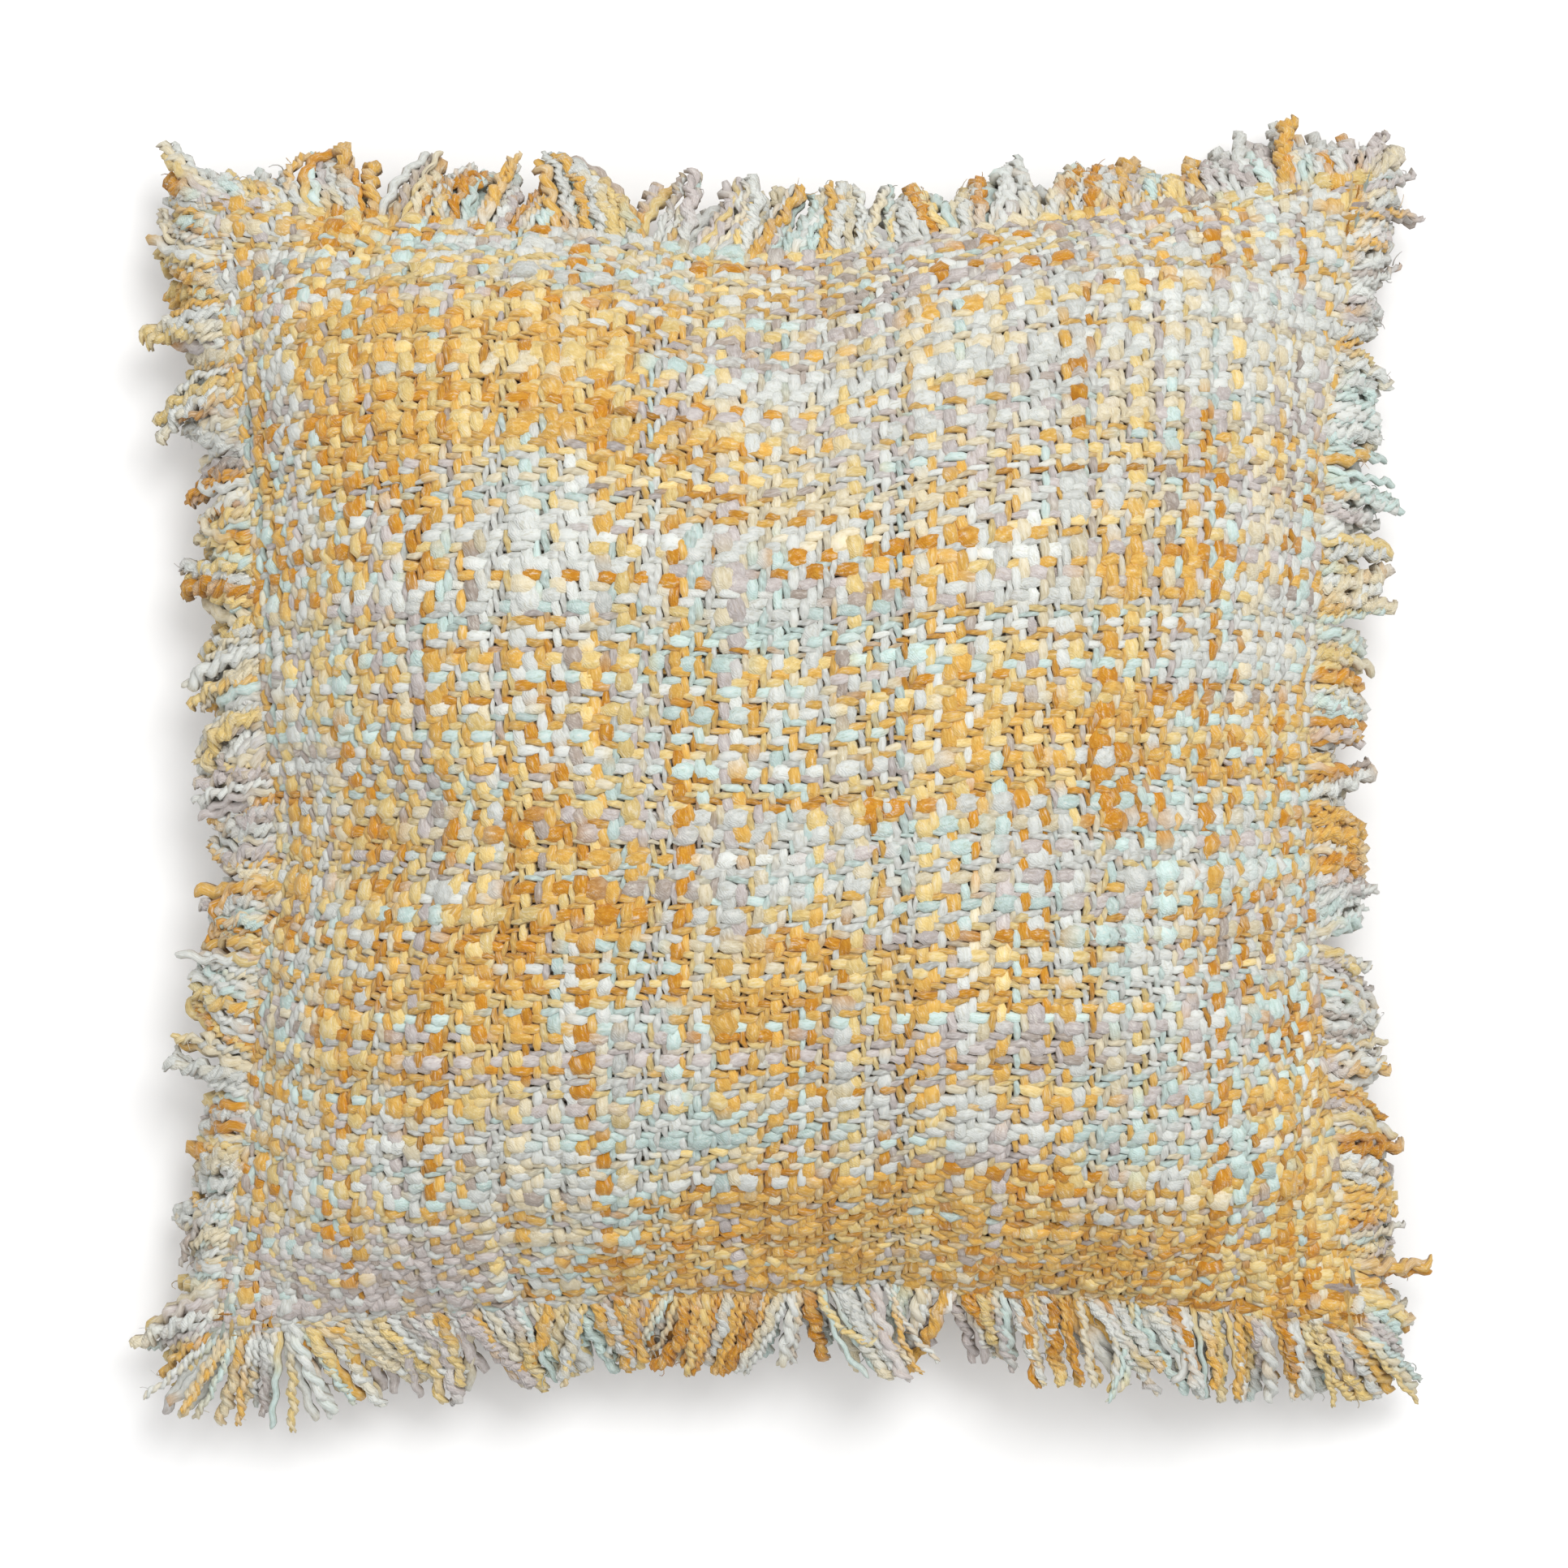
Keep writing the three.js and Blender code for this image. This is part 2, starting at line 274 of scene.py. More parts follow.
# How the frayed ends of each side hang: how far they turn aside and how matted they are,
# the share of their thinner yarns that still show as two-ply ropes, how thick they are,
# how far they gather into locks, and the share that turn back on themselves
HANGING = {
    "top": {"turn": 0.65, "matting": 1.0, "ropes": 0.7, "fullness": 1.02, "gather": 0.65, "hairpins": 0.10},
    "bottom": {"turn": 0.32, "matting": 0.7, "ropes": 0.9, "fullness": 0.94, "gather": 0.4, "hairpins": 0.05},
    "left": {"turn": 0.9, "matting": 1.1, "ropes": 0.7, "fullness": 1.1, "gather": 0.45, "hairpins": 0.24},
    "right": {"turn": 0.9, "matting": 1.1, "ropes": 0.7, "fullness": 1.06, "gather": 0.5, "hairpins": 0.18},
}

# The frayed ends of each sort of yarn: radius in millimetres free of the weave, how wide and
# how long their waves or turns are in millimetres, and how many tubes turn round each other
END_SORTS = {
    "two-ply": {"radius": 1.75, "wave": 0.8, "turn": 6.8, "tubes": 2, "rings": 4},
    "medium": {"radius": 2.15, "wave": 0.9, "turn": 8.6, "tubes": 2, "rings": 4},
    "roving": {"radius": 2.60, "wave": 1.0, "turn": 14.0, "tubes": 2, "rings": 6},
    "looped": {"radius": 2.80, "wave": 1.2, "turn": 10.0, "tubes": 3, "rings": 5},
}

# Rings of a yarn over one repeat of the twill: crossings from the middle of its float,
# share of its rise and of its width there, and how far the float slants across it
THICK_RINGS = table(
    "at rise width slant",
    (-0.98, 0.45, 0.80, -1.0),
    (-0.48, 0.96, 1.09, -0.6),
    (0.48, 0.96, 1.09, 0.6),
    (0.98, 0.45, 0.80, 1.0),
    (2.0, -1.0, 0.80, 0.0),
)
THIN_RINGS = table(
    "at rise width slant",
    (-0.85, 0.66, 0.92, -1.0),
    (0.0, 1.05, 1.18, 0.0),
    (0.85, 0.66, 0.92, 1.0),
    (2.0, -1.05, 0.9, 0.0),
)
BACK_RINGS = table(
    "at rise width slant",
    (0.0, 1.2, 1.2, 0.4),
    (2.0, -1.2, 0.9, -0.4),
)
TWILL_REPEAT = 4
FRONT_SIDES = 5
BACK_SIDES = 3
BACK_FINENESS = 0.88  # yarns of the back panel for each of the front's
PUFF_SIZES = (-0.22, 0.30)  # least and most that a fluffy float is wider
TUBE_UNEVENNESS = 0.035
LOOM_SEEDS = {"front": 11, "back": 47}
FRINGE_SEEDS = {"front": 100, "back": 200}  # each side adds its number

# How the dyes fall: how often a new pool of neighbouring yarns starts, and how much is by chance
# of the pool, by chance of the yarn, and by a liking that the yarn keeps over its whole length
POOL_STARTS = 0.3
POOL_CHANCE = 0.45
YARN_CHANCE = 0.68
YARN_LIKING = 0.9
FLOOR_GAP = 0.0002
SEAM_EDGE = 1 - 1e-6  # panel coordinate past which a point is on the seam
TWIST_PITCH = 0.0034
BUMP_DEPTH = 0.0006

# Fixed tints of the materials, as red, green, blue and alpha
TINTS = {
    "white": (1.0, 1.0, 1.0, 1.0),
    "dull_streak": (0.83, 0.78, 0.68, 1.0),
    "rubbed_fibre": (0.80, 0.77, 0.69, 1.0),
    # Painted shade, multiplied into the yarns down their sides, in their grooves and where they dive under
    "shade": (0.46, 0.36, 0.28, 1.0),
    "sheen": (1.0, 0.96, 0.90, 1.0),
    # Dark browns of the padding between the yarns: painted shade
    "warm_wool_shade": (0.34, 0.25, 0.13, 1.0),
    "cool_wool_shade": (0.32, 0.28, 0.23, 1.0),
    "pale_wool_shade": (0.48, 0.41, 0.31, 1.0),
    "floor": (0.93, 0.93, 0.93, 1.0),
    "floor_grain": (0.90, 0.90, 0.90, 1.0),
}

# The soft square lamps: side and place in metres
LAMPS = {
    "key_lamp": {"side": 1.1, "place": (0.60, 0.95, 2.35)},
    "fill_lamp": {"side": 2.4, "place": (-0.4, -0.3, 2.6)},
}
LAMP_TARGET = (0, 0, 0.05)


# Sizes and colours that a user would change


def length_property(name, description, default):
    return FloatProperty(name=name, description=description, default=default, unit="LENGTH")


def angle_property(name, description, degrees):
    default = math.radians(degrees)
    return FloatProperty(name=name, description=description, default=default, subtype="ANGLE")


def plain_property(name, description, default):
    return FloatProperty(name=name, description=description, default=default)


def count_property(name, description, default):
    return IntProperty(name=name, description=description, default=default, min=8)


def dye_property(name, colour):
    return FloatVectorProperty(
        name=name,
        description=f"Colour of the yarn where it is dyed {name.lower()}",
        default=colour,
        size=3,
        min=0,
        max=1,
        subtype="COLOR_GAMMA",
    )


class CushionSizes(bpy.types.PropertyGroup):
    loft: length_property("Loft", "Crown of the front panel above the seam", 0.082)
    belly: length_property("Belly", "Depth of the back panel below the seam before it is pressed flat", 0.084)
    press: length_property("Press", "Height over which the back panel rolls off the surface", 0.006)
    roll: angle_property("Roll", "How far a panel has turned from level at the seam", 70)
    seam_height: length_property("Seam height", "Height of the seam at the middle of a side", 0.062)
    padding_cells: count_property("Padding cells", "Facets across a panel of the padded form", 56)


class CushionWeave(bpy.types.PropertyGroup):
    warp_ends: count_property("Warp ends", "Yarns across the panel", 150)
    weft_picks: count_property("Weft picks", "Yarns up the panel", 160)
    cloth_depth: length_property("Cloth depth", "How far inside the form the cloth's middle lies", 0.0016)
    padding_depth: length_property("Padding depth", "How far inside the form the padding lies", 0.0040)
    drift: length_property("Drift", "How far the hand-beaten yarns stray from straight lines", 0.0010)


class CushionFringe(bpy.types.PropertyGroup):
    length: length_property("Length", "Length of a frayed end past the seam", 0.039)
    sway: angle_property("Sway", "Slow lean of the strands along a side", 13)
    corner_fan: angle_property("Corner fan", "Lean of a side's last strands to the corner", 36)


class CushionDyes(bpy.types.PropertyGroup):
    amber: dye_property("Amber", (0.80, 0.575, 0.18))
    mustard: dye_property("Mustard", (0.86, 0.695, 0.37))
    straw: dye_property("Straw", (0.88, 0.79, 0.555))
    cream: dye_property("Cream", (0.86, 0.82, 0.715))
    white: dye_property("White", (0.835, 0.845, 0.83))
    aqua: dye_property("Aqua", (0.775, 0.845, 0.83))
    grey: dye_property("Grey", (0.775, 0.745, 0.735))
    stone: dye_property("Stone", (0.70, 0.655, 0.62))


class CushionStage(bpy.types.PropertyGroup):
    camera_height: length_property("Camera height", "Height of the camera above the surface", 2.2)
    photo_scale: plain_property("Photo scale", "Photograph pixels for a metre at the seam", 3250)
    key_power: plain_property("Key power", "Watts of the large soft lamp at the upper right", 36.5)
    fill_power: plain_property("Fill power", "Watts of the soft lamp overhead", 15)
    sky: plain_property("Sky", "Brightness of the white room around", 0.585)


def add_object(name, data):
    thing = bpy.data.objects.new(name, data)
    bpy.context.scene.collection.objects.link(thing)
    return thing


# The filled form


def mix(low, high, share):
    return low + (high - low) * share


def unit(vectors):
    return vectors / np.maximum(np.linalg.norm(vectors, axis=-1, keepdims=True), 1e-12)


def drawn_in(side, t):
    """How far a side draws in, in millimetres, from the straight line between its corners."""
    reach = np.where(t < side["deepest"], 1 + side["deepest"], 1 - side["deepest"])
    bow = side["bow"] * (1 - np.abs((t - side["deepest"]) / reach) ** side["roundness"])
    tuck = side["tuck"] * np.exp(-(((t - side["tuck_at"]) / side["reach"]) ** 2))
    return bow + tuck * (1 - t * t)


class Form:
    """The filled cover. Panel coordinates u and v run from -1 to 1 over each panel."""

    ROLL_STEPS = 400
    NUDGE = 1e-3
    SEAM_HOLD = 20  # the filling moves freely from one in this many of the half panel inwards

    def __init__(self, sizes):
        self.sizes = sizes
        edges = np.linspace(0, 1, self.ROLL_STEPS + 1)
        turned = sizes.roll * ((edges[1:] + edges[:-1]) / 2) ** 2
        self.edges = edges
        self.plan = np.concatenate([[0], np.cumsum(np.cos(turned))])
        self.fall = np.concatenate([[0], np.cumsum(np.sin(turned))])
        self.shift = np.zeros(3)
        self.moved = None
        self.shift[:2] = self.off_centre()

    def off_centre(self):
        """What brings the form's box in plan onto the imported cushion's."""
        grid = np.linspace(-1, 1, 81)
        u, v = np.meshgrid(grid, grid)
        plan = self.point(u.ravel(), v.ravel(), True)[:, :2]
        low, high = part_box("cushion")
        middle = (plan.min(0) + plan.max(0)) / 2
        return (np.array(low[:2]) + np.array(high[:2])) / 2 - middle

    def plan_share(self, t):
        return np.sign(t) * np.interp(np.abs(t), self.edges, self.plan) / self.plan[-1]

    def loft_share(self, t):
        return 1 - np.interp(np.abs(t), self.edges, self.fall) / self.fall[-1]

    def point(self, u, v, front):
        """Points of the front or back panel, in metres."""
        u = np.clip(u, -1, 1)
        v = np.clip(v, -1, 1)
        right = (1 + u) / 2
        high = (1 + v) / 2
        corner = CORNERS
        left_x = mix(corner["bottom_left"]["x"], corner["top_left"]["x"], high)
        right_x = mix(corner["bottom_right"]["x"], corner["top_right"]["x"], high)
        left_x = left_x + drawn_in(SIDES["left"], v)
        right_x = right_x - drawn_in(SIDES["right"], v)
        low_y = mix(corner["bottom_left"]["y"], corner["bottom_right"]["y"], right)
        high_y = mix(corner["top_left"]["y"], corner["top_right"]["y"], right)
        low_y = low_y + drawn_in(SIDES["bottom"], u)
        high_y = high_y - drawn_in(SIDES["top"], u)
        share_x = mix(self.plan_share(u), u, np.abs(v) ** 4)
        share_y = mix(self.plan_share(v), v, np.abs(u) ** 4)
        x = (left_x + right_x) / 2 + share_x * (right_x - left_x) / 2
        y = (low_y + high_y) / 2 + share_y * (high_y - low_y) / 2
        low_drop = mix(corner["bottom_left"]["drop"], corner["bottom_right"]["drop"], right)
        high_drop = mix(corner["top_left"]["drop"], corner["top_right"]["drop"], right)
        seam = self.sizes.seam_height - mix(low_drop, high_drop, high) * MM * (u * v) ** 2
        loft = self.loft_share(u) * self.loft_share(v)
        if front:
            z = seam + self.sizes.loft * loft + self.lumps(u, v)
        else:
            z = self.pressed_flat(seam - self.sizes.belly * loft)
        place = np.stack([x * MM, y * MM, z], axis=-1) + self.shift
        if self.moved is not None:
            place = place + self.swelling(u, v, front)
            place[..., 2] = np.maximum(place[..., 2], 0)
        return place

    def swelling(self, u, v, front):
        """How far the filling has moved the panel, by cubic splines over the simulated grid."""
        moved = self.moved[0 if front else 1]
        last = moved.shape[0] - 1
        weights = []
        for place in (u, v):
            at = (place + 1) / 2 * last
            before = np.clip(at.astype(int), 0, last - 1)
            f = at - before
            shares = [(1 - f) ** 3, 3 * f**3 - 6 * f**2 + 4, -3 * f**3 + 3 * f**2 + 3 * f + 1, f**3]
            knots = [np.clip(before + step, 0, last) for step in (-1, 0, 1, 2)]
            weights.append([(knot, share / 6) for knot, share in zip(knots, shares)])
        total = 0
        for row, row_share in weights[0]:
            for column, column_share in weights[1]:
                total = total + moved[row, column] * (row_share * column_share)[..., None]
        free_u = np.clip((1 - np.abs(u)) * self.SEAM_HOLD, 0, 1)
        free_v = np.clip((1 - np.abs(v)) * self.SEAM_HOLD, 0, 1)
        return total * (free_u * free_v)[..., None]

    def lumps(self, u, v):
        rise = np.zeros_like(u)
        for lump in LUMPS:
            far = ((u - lump["u"]) / lump["reach_u"]) ** 2 + ((v - lump["v"]) / lump["reach_v"]) ** 2
            rise = rise + lump["rise"] * MM * np.exp(-far)
        return rise * (1 - u**4) * (1 - v**4)

    def pressed_flat(self, height):
        press = self.sizes.press
        rolling = (np.clip(height, -press, press) + press) ** 2 / (4 * press)
        return np.where(height > press, height, rolling)

    def surface(self, u, v, front):
        """Points, and unit vectors along u, along v and outwards."""
        h = self.NUDGE
        point = self.point(u, v, front)
        along_u = unit(self.point(u + h, v, front) - self.point(u - h, v, front))
        along_v = unit(self.point(u, v + h, front) - self.point(u, v - h, front))
        out = unit(np.cross(along_u, along_v)) * (1 if front else -1)
        return point, along_u, along_v, out

    def depth(self, u, v, most, share):
        """How far inside the form to lie: most, or a share of the thickness where it is thin."""
        thick = self.point(u, v, True)[..., 2] - self.point(u, v, False)[..., 2]
        return np.minimum(most, share * thick)

    def seam(self, side, t, span):
        """Points of one side of the seam, and level unit vectors along it and out of it."""
        fixed = np.full_like(t, 1.0 if side in ("top", "right") else -1.0)

        def at(place):
            if side in ("top", "bottom"):
                return self.point(place, fixed, True)
            return self.point(fixed, place, True)

        along = at(np.minimum(t + span, 1)) - at(np.maximum(t - span, -1))
        along[:, 2] = 0
        along = unit(along)
        turn = 1 if side in ("top", "left") else -1
        out = np.stack([-along[:, 1], along[:, 0], np.zeros(len(t))], axis=-1) * turn
        return at(t), along, out


class Filling:
    """A cloth simulation of the sewn cover pressed out from inside, its seam held still.

    It starts a little smaller than the form, and its result is kept near the form."""

    CELLS = 46
    FRAMES = 20
    PRESSURE = 4.0
    SPARE_CLOTH = 0.03
    START_INSIDE = 3.0 * MM
    MOST = 4.5 * MM
    RESTING = 2.0 * MM

    def __init__(self, form):
        count = self.CELLS + 1
        grid = np.linspace(-1, 1, count)
        u, v = np.meshgrid(grid, grid, indexing="ij")
        self.front = np.arange(count * count).reshape(count, count)
        self.back = self.front.copy()
        inner = (count - 2) ** 2
        self.back[1:-1, 1:-1] = count * count + np.arange(inner).reshape(count - 2, count - 2)
        self.rest = np.zeros((count * count + inner, 3))
        self.start = self.rest.copy()
        self.held = np.zeros(len(self.rest), bool)
        for front, index in ((False, self.back), (True, self.front)):
            point, _, _, out = form.surface(u, v, front)
            resting = (point[..., 2] < self.RESTING) & (not front)
            inside = self.START_INSIDE * (1 - u**4) * (1 - v**4) * ~resting
            self.rest[index] = point
            self.start[index] = point - out * inside[..., None]
            self.held[index] = resting | (np.maximum(np.abs(u), np.abs(v)) > SEAM_EDGE)

    def faces(self):
        made = []
        for index, turned in ((self.front, False), (self.back, True)):
            quads = np.stack([index[:-1, :-1], index[1:, :-1], index[1:, 1:], index[:-1, 1:]], -1)
            made.append(quads.reshape(-1, 4)[:, ::-1] if turned else quads.reshape(-1, 4))
        return np.concatenate(made).tolist()

    def simulate(self, scene):
        """How far each panel's points move, as two grids of vectors."""
        mesh = bpy.data.meshes.new("filling")
        mesh.from_pydata(self.start.tolist(), [], self.faces())
        cover = add_object("filling", mesh)
        cover.vertex_groups.new(name="held").add(np.flatnonzero(self.held).tolist(), 1.0, "REPLACE")
        cloth = cover.modifiers.new("cloth", "CLOTH")
        settings = cloth.settings
        settings.quality = 6
        settings.vertex_group_mass = "held"
        settings.shrink_min = -self.SPARE_CLOTH
        settings.use_pressure = True
        settings.uniform_pressure_force = self.PRESSURE
        settings.effector_weights.gravity = 0
        cloth.collision_settings.use_collision = False
        cloth.point_cache.frame_end = self.FRAMES
        for frame_number in range(1, self.FRAMES + 1):
            scene.frame_set(frame_number)
        swollen = cover.evaluated_get(bpy.context.evaluated_depsgraph_get()).data
        place = np.empty(3 * len(self.rest), np.float32)
        swollen.vertices.foreach_get("co", place)
        bpy.data.objects.remove(cover)
        bpy.data.meshes.remove(mesh)
        scene.frame_set(1)
        moved = place.reshape(-1, 3) - self.rest
        far = np.linalg.norm(moved, axis=1, keepdims=True)
        moved = moved * np.tanh(far / self.MOST) * self.MOST / np.maximum(far, 1e-9)
        moved[self.held] = 0
        return np.stack([moved[self.front], moved[self.back]])


# Yarns on the loom


def slow_wave(rng, rows, count, step):
    """Smooth random waves along each of some rows, mostly between -1 and 1."""
    knots = rng.normal(0, 0.6, (rows, int(count / step) + 3))
    place = np.arange(count) / step
    before = place.astype(int)
    part = place - before
    part = part * part * (3 - 2 * part)
    return knots[:, before] * (1 - part) + knots[:, before + 1] * part


def to_linear(colour):
    colour = np.asarray(colour)
    return np.where(colour <= 0.04045, colour / 12.92, ((colour + 0.055) / 1.055) ** 2.4)


def dye_table(dyes):
    return np.stack([to_linear(getattr(dyes, name)) for name in DYE_NAMES])


def hue_pull(hue):
    return np.array([HUES[hue].get(name, -0.5) for name in DYE_NAMES])


def panel_pull(u, v, yarns):
    """How the front panel's dye places pull each dye, for yarns of the warp or the weft."""
    pull = np.zeros(u.shape + (len(DYE_NAMES),))
    for place in DYE_PLACES:
        if place["yarns"] not in ("both", yarns):
            continue
        far = ((u - place["u"]) / place["half_u"]) ** 4 + ((v - place["v"]) / place["half_v"]) ** 4
        strength = place["pull"] * np.exp(-far * 0.7)
        pull += strength[..., None] * hue_pull(place["hue"])
    return pull


def dye_yarns(rng, dyes, pull, run):
    """Space-dye some yarns. pull is (yarns, places, dyes), and a dye lasts about run places.
    Neighbouring yarns often take the same dye, as the dyed lengths pool together."""
    yarns, places, kinds = pull.shape
    stops = np.minimum(np.arange(0, places + run, run), places - 1)
    neighbours = np.cumsum(rng.random(yarns) < POOL_STARTS)
    pooled = rng.gumbel(0, POOL_CHANCE, (neighbours[-1] + 1, len(stops), kinds))[neighbours]
    own = rng.gumbel(0, YARN_CHANCE, (yarns, len(stops), kinds))
    liking = rng.normal(0, YARN_LIKING, (yarns, 1, kinds))
    share = np.log(np.array(list(DYE_SHARES.values())))
    pick = np.argmax(share + liking + pooled + own + pull[:, stops], axis=-1)
    colour = dyes[pick] * (1 + rng.normal(0, 0.06, (yarns, len(stops), 1)))
    place = np.arange(places) / run + rng.random((yarns, 1)) * 0.8
    before = np.minimum(place.astype(int), len(stops) - 2)
    part = np.clip((place - before - 0.35) / 0.3, 0, 1)[..., None]
    row = np.arange(yarns)[:, None]
    return colour[row, before] * (1 - part) + colour[row, before + 1] * part


class YarnSet:
    """The warp or the weft of one panel: where each yarn lies, and its make along its length."""

    def __init__(self, rng, count, crossings, fineness, streaks=()):
        shares = np.array([sort["share"] for sort in YARN_SORTS])
        self.sort = rng.choice(len(YARN_SORTS), count, p=shares / shares.sum())
        first = [int((1 + streak["u"]) / 2 * count) for streak in streaks]
        self.sort[first] = len(YARN_SORTS) - 1
        pairs = zip(first, streaks)
        self.streaks = [(number + k, streak) for number, streak in pairs for k in (0, 1)]
        self.count = count

        def of_sort(key):
            return np.array([sort[key] for sort in YARN_SORTS])[self.sort]

        thick_and_thin = np.exp(0.28 * slow_wave(rng, count, crossings, 22))
        uneven = np.exp(0.26 * slow_wave(rng, count, crossings, 3))
        self.radius = of_sort("radius")[:, None] * MM / fineness * thick_and_thin * uneven
        self.fluff = np.clip(of_sort("fluff")[:, None] + 0.25 * slow_wave(rng, count, crossings, 9), 0, 1)
        self.ply = np.clip(of_sort("ply")[:, None] + 0.2 * slow_wave(rng, count, crossings, 15), 0, 1)
        self.height = of_sort("height")
        self.waver = of_sort("waver") * MM
        self.slant = rng.choice([-1.0, 1.0], count)
        width = 0.35 + 0.65 * self.radius.mean(1) / self.radius.mean()
        place = np.cumsum(width) - width / 2
        self.place = 2 * place / width.sum() - 1
        self.stray = slow_wave(rng, count, crossings, 14) * 0.5 * MM


class Loom:
    """Both sets of yarns of a panel, and their dyes where they cross."""

    DYE_RUN = 12

    def __init__(self, seed, weave, dyes, front):
        rng = np.random.default_rng(seed)
        self.front = front
        fineness = 1 if front else BACK_FINENESS
        ends = round(weave.warp_ends * fineness)
        picks = round(weave.weft_picks * fineness)
        self.warp = YarnSet(rng, ends, picks, fineness, STREAKS if front else ())
        self.weft = YarnSet(rng, picks, ends, fineness)
        self.crossing = {"warp": self.weft, "weft": self.warp}
        for name, own, other in (("warp", self.warp, self.weft), ("weft", self.weft, self.warp)):
            own_place, other_place = np.meshgrid(own.place, other.place, indexing="ij")
            u, v = (own_place, other_place) if name == "warp" else (other_place, own_place)
            pull = panel_pull(u, v, name) if front else np.zeros(u.shape + (len(DYE_NAMES),))
            for number, streak in own.streaks:
                shows = (v[number] > streak["low"]) & (v[number] < streak["high"])
                pull[number, shows] += STREAK_PULL * hue_pull(streak["hue"])
            own.dye = dye_yarns(rng, dyes, pull, self.DYE_RUN)
        self.warp.rng = np.random.default_rng(seed + 1)
        self.weft.rng = np.random.default_rng(seed + 2)
        self.waves = rng.uniform(-1, 1, (6, 5))

    def drift(self, u, v, amount):
        """Slow stray of the whole weave from straight lines, in panel coordinates."""
        stray = np.zeros((2,) + u.shape)
        for turn_u, turn_v, start_u, start_v, size in self.waves:
            wave = np.sin(5.5 * turn_u * u + 5.5 * turn_v * v + 3 * start_u)
            stray[0] += size * wave
            stray[1] += size * np.sin(4.5 * turn_v * u - 5.0 * turn_u * v + 3 * start_v)
        edge = (1 - u**4) * (1 - v**4)
        return stray * edge * amount / 0.225 * 0.5


class YarnPile:
    """Many yarns, gathered to become one joined mesh."""

    MAP_MARGIN = 0.1

    def __init__(self, columns=1):
        self.columns = columns
        self.yarns = []

    def add(self, rings, along, dye, make):
        """rings (n, sides, 3), along (n,) in metres, dye (n, 3), and make (n, 3)."""
        self.yarns.append((rings, along, dye, make))

    def faces_of(self, count, sides):
        """A tube's quads from ring to ring and its two caps: their corners, and corners a face."""
        ring = np.arange(count - 1)[:, None]
        side = np.arange(sides)[None]
        after = (side + 1) % sides
        quads = [ring * sides + side, ring * sides + after]
        quads += [(ring + 1) * sides + after, (ring + 1) * sides + side]
        caps = [np.arange(sides)[::-1], (count - 1) * sides + np.arange(sides)]
        corners = np.concatenate([np.stack(quads, -1).reshape(-1), *caps])
        return corners, np.repeat([4, sides], [(count - 1) * sides, 2])

    def map_of(self, along, sides):
        """Each corner's place along its yarn in metres, and its turn round it."""
        near = np.broadcast_to(along[:-1, None], (len(along) - 1, sides))
        far = np.broadcast_to(along[1:, None], near.shape)
        cap_turn = (np.arange(sides) + 0.5) / sides
        turn = np.broadcast_to(cap_turn, near.shape)
        over = turn + 1 / sides
        quads = np.stack([near, turn, near, over, far, over, far, turn], -1).reshape(-1, 2)
        low_cap = np.stack([np.full(sides, along[0]), cap_turn[::-1]], -1)
        high_cap = np.stack([np.full(sides, along[-1]), cap_turn], -1)
        return np.concatenate([quads, low_cap, high_cap])

    def baked_place(self, number, rows, longest, yarn_map, sides):
        """The same corners in a map that gives every yarn a strip of its own."""
        column, row = divmod(number, rows)
        span = 1 - 2 * self.MAP_MARGIN
        across = (column + 0.01 + 0.98 * yarn_map[:, 0] / longest) / self.columns
        up = (row + self.MAP_MARGIN + span * (yarn_map[:, 1] - 0.5 / sides)) / rows
        return np.stack([across, up], -1)

    def build(self, name, material):
        places, corners, counts, spun, baked, dyes, makes = [], [], [], [], [], [], []
        rows = math.ceil(len(self.yarns) / self.columns)
        longest = max(along[-1] for _, along, _, _ in self.yarns)
        start = 0
        for number, (rings, along, dye, make) in enumerate(self.yarns):
            count, sides = rings.shape[:2]
            tube_corners, tube_counts = self.faces_of(count, sides)
            yarn_map = self.map_of(along, sides)
            places.append(rings.reshape(-1, 3))
            corners.append(tube_corners + start)
            counts.append(tube_counts)
            spun.append(yarn_map)
            baked.append(self.baked_place(number, rows, longest, yarn_map, sides))
            dyes.append(np.repeat(dye, sides, axis=0))
            makes.append(np.repeat(make, sides, axis=0))
            start += count * sides
        mesh = bpy.data.meshes.new(name)
        self.fill_shape(mesh, places, corners, counts)
        for map_name, made in (("OFBake", baked), ("yarn", spun)):
            loops = mesh.uv_layers.new(name=map_name).uv
            loops.foreach_set("vector", np.concatenate(made).astype(np.float32).ravel())
        dye = np.concatenate(dyes)
        dye = np.concatenate([dye, np.ones((len(dye), 1))], axis=1).astype(np.float32)
        mesh.attributes.new("dye", "FLOAT_COLOR", "POINT").data.foreach_set("color", dye.ravel())
        make = np.concatenate(makes).astype(np.float32)
        mesh.attributes.new("make", "FLOAT_VECTOR", "POINT").data.foreach_set("vector", make.ravel())
        mesh.shade_smooth()
        mesh.materials.append(material)
        mesh.validate()
        return add_object(name, mesh)

    def fill_shape(self, mesh, places, corners, counts):
        place = np.concatenate(places).astype(np.float32)
        corner = np.concatenate(corners).astype(np.int32)
        count = np.concatenate(counts)
        first = np.concatenate([[0], np.cumsum(count)[:-1]]).astype(np.int32)
        mesh.vertices.add(len(place))
        mesh.vertices.foreach_set("co", place.ravel())
        mesh.loops.add(len(corner))
        mesh.loops.foreach_set("vertex_index", corner)
        mesh.polygons.add(len(count))
        mesh.polygons.foreach_set("loop_start", first)
        mesh.update(calc_edges=True)


def ring_points(centre, sideways, up, half_width, half_height, sides):
    """Rings of a tube round each centre, with a face on top so that its shading is broad."""
    angle = math.tau * (np.arange(sides) + 0.5) / sides + math.pi / 2
    across = np.cos(angle) / np.abs(np.cos(angle)).max() * 0.94
    high = np.sin(angle) / np.sin(angle).max() * 0.94
    wide = across[None, :, None] * half_width[:, None, None] * sideways[:, None]
    tall = high[None, :, None] * half_height[:, None, None] * up[:, None]
    return centre[:, None] + wide + tall


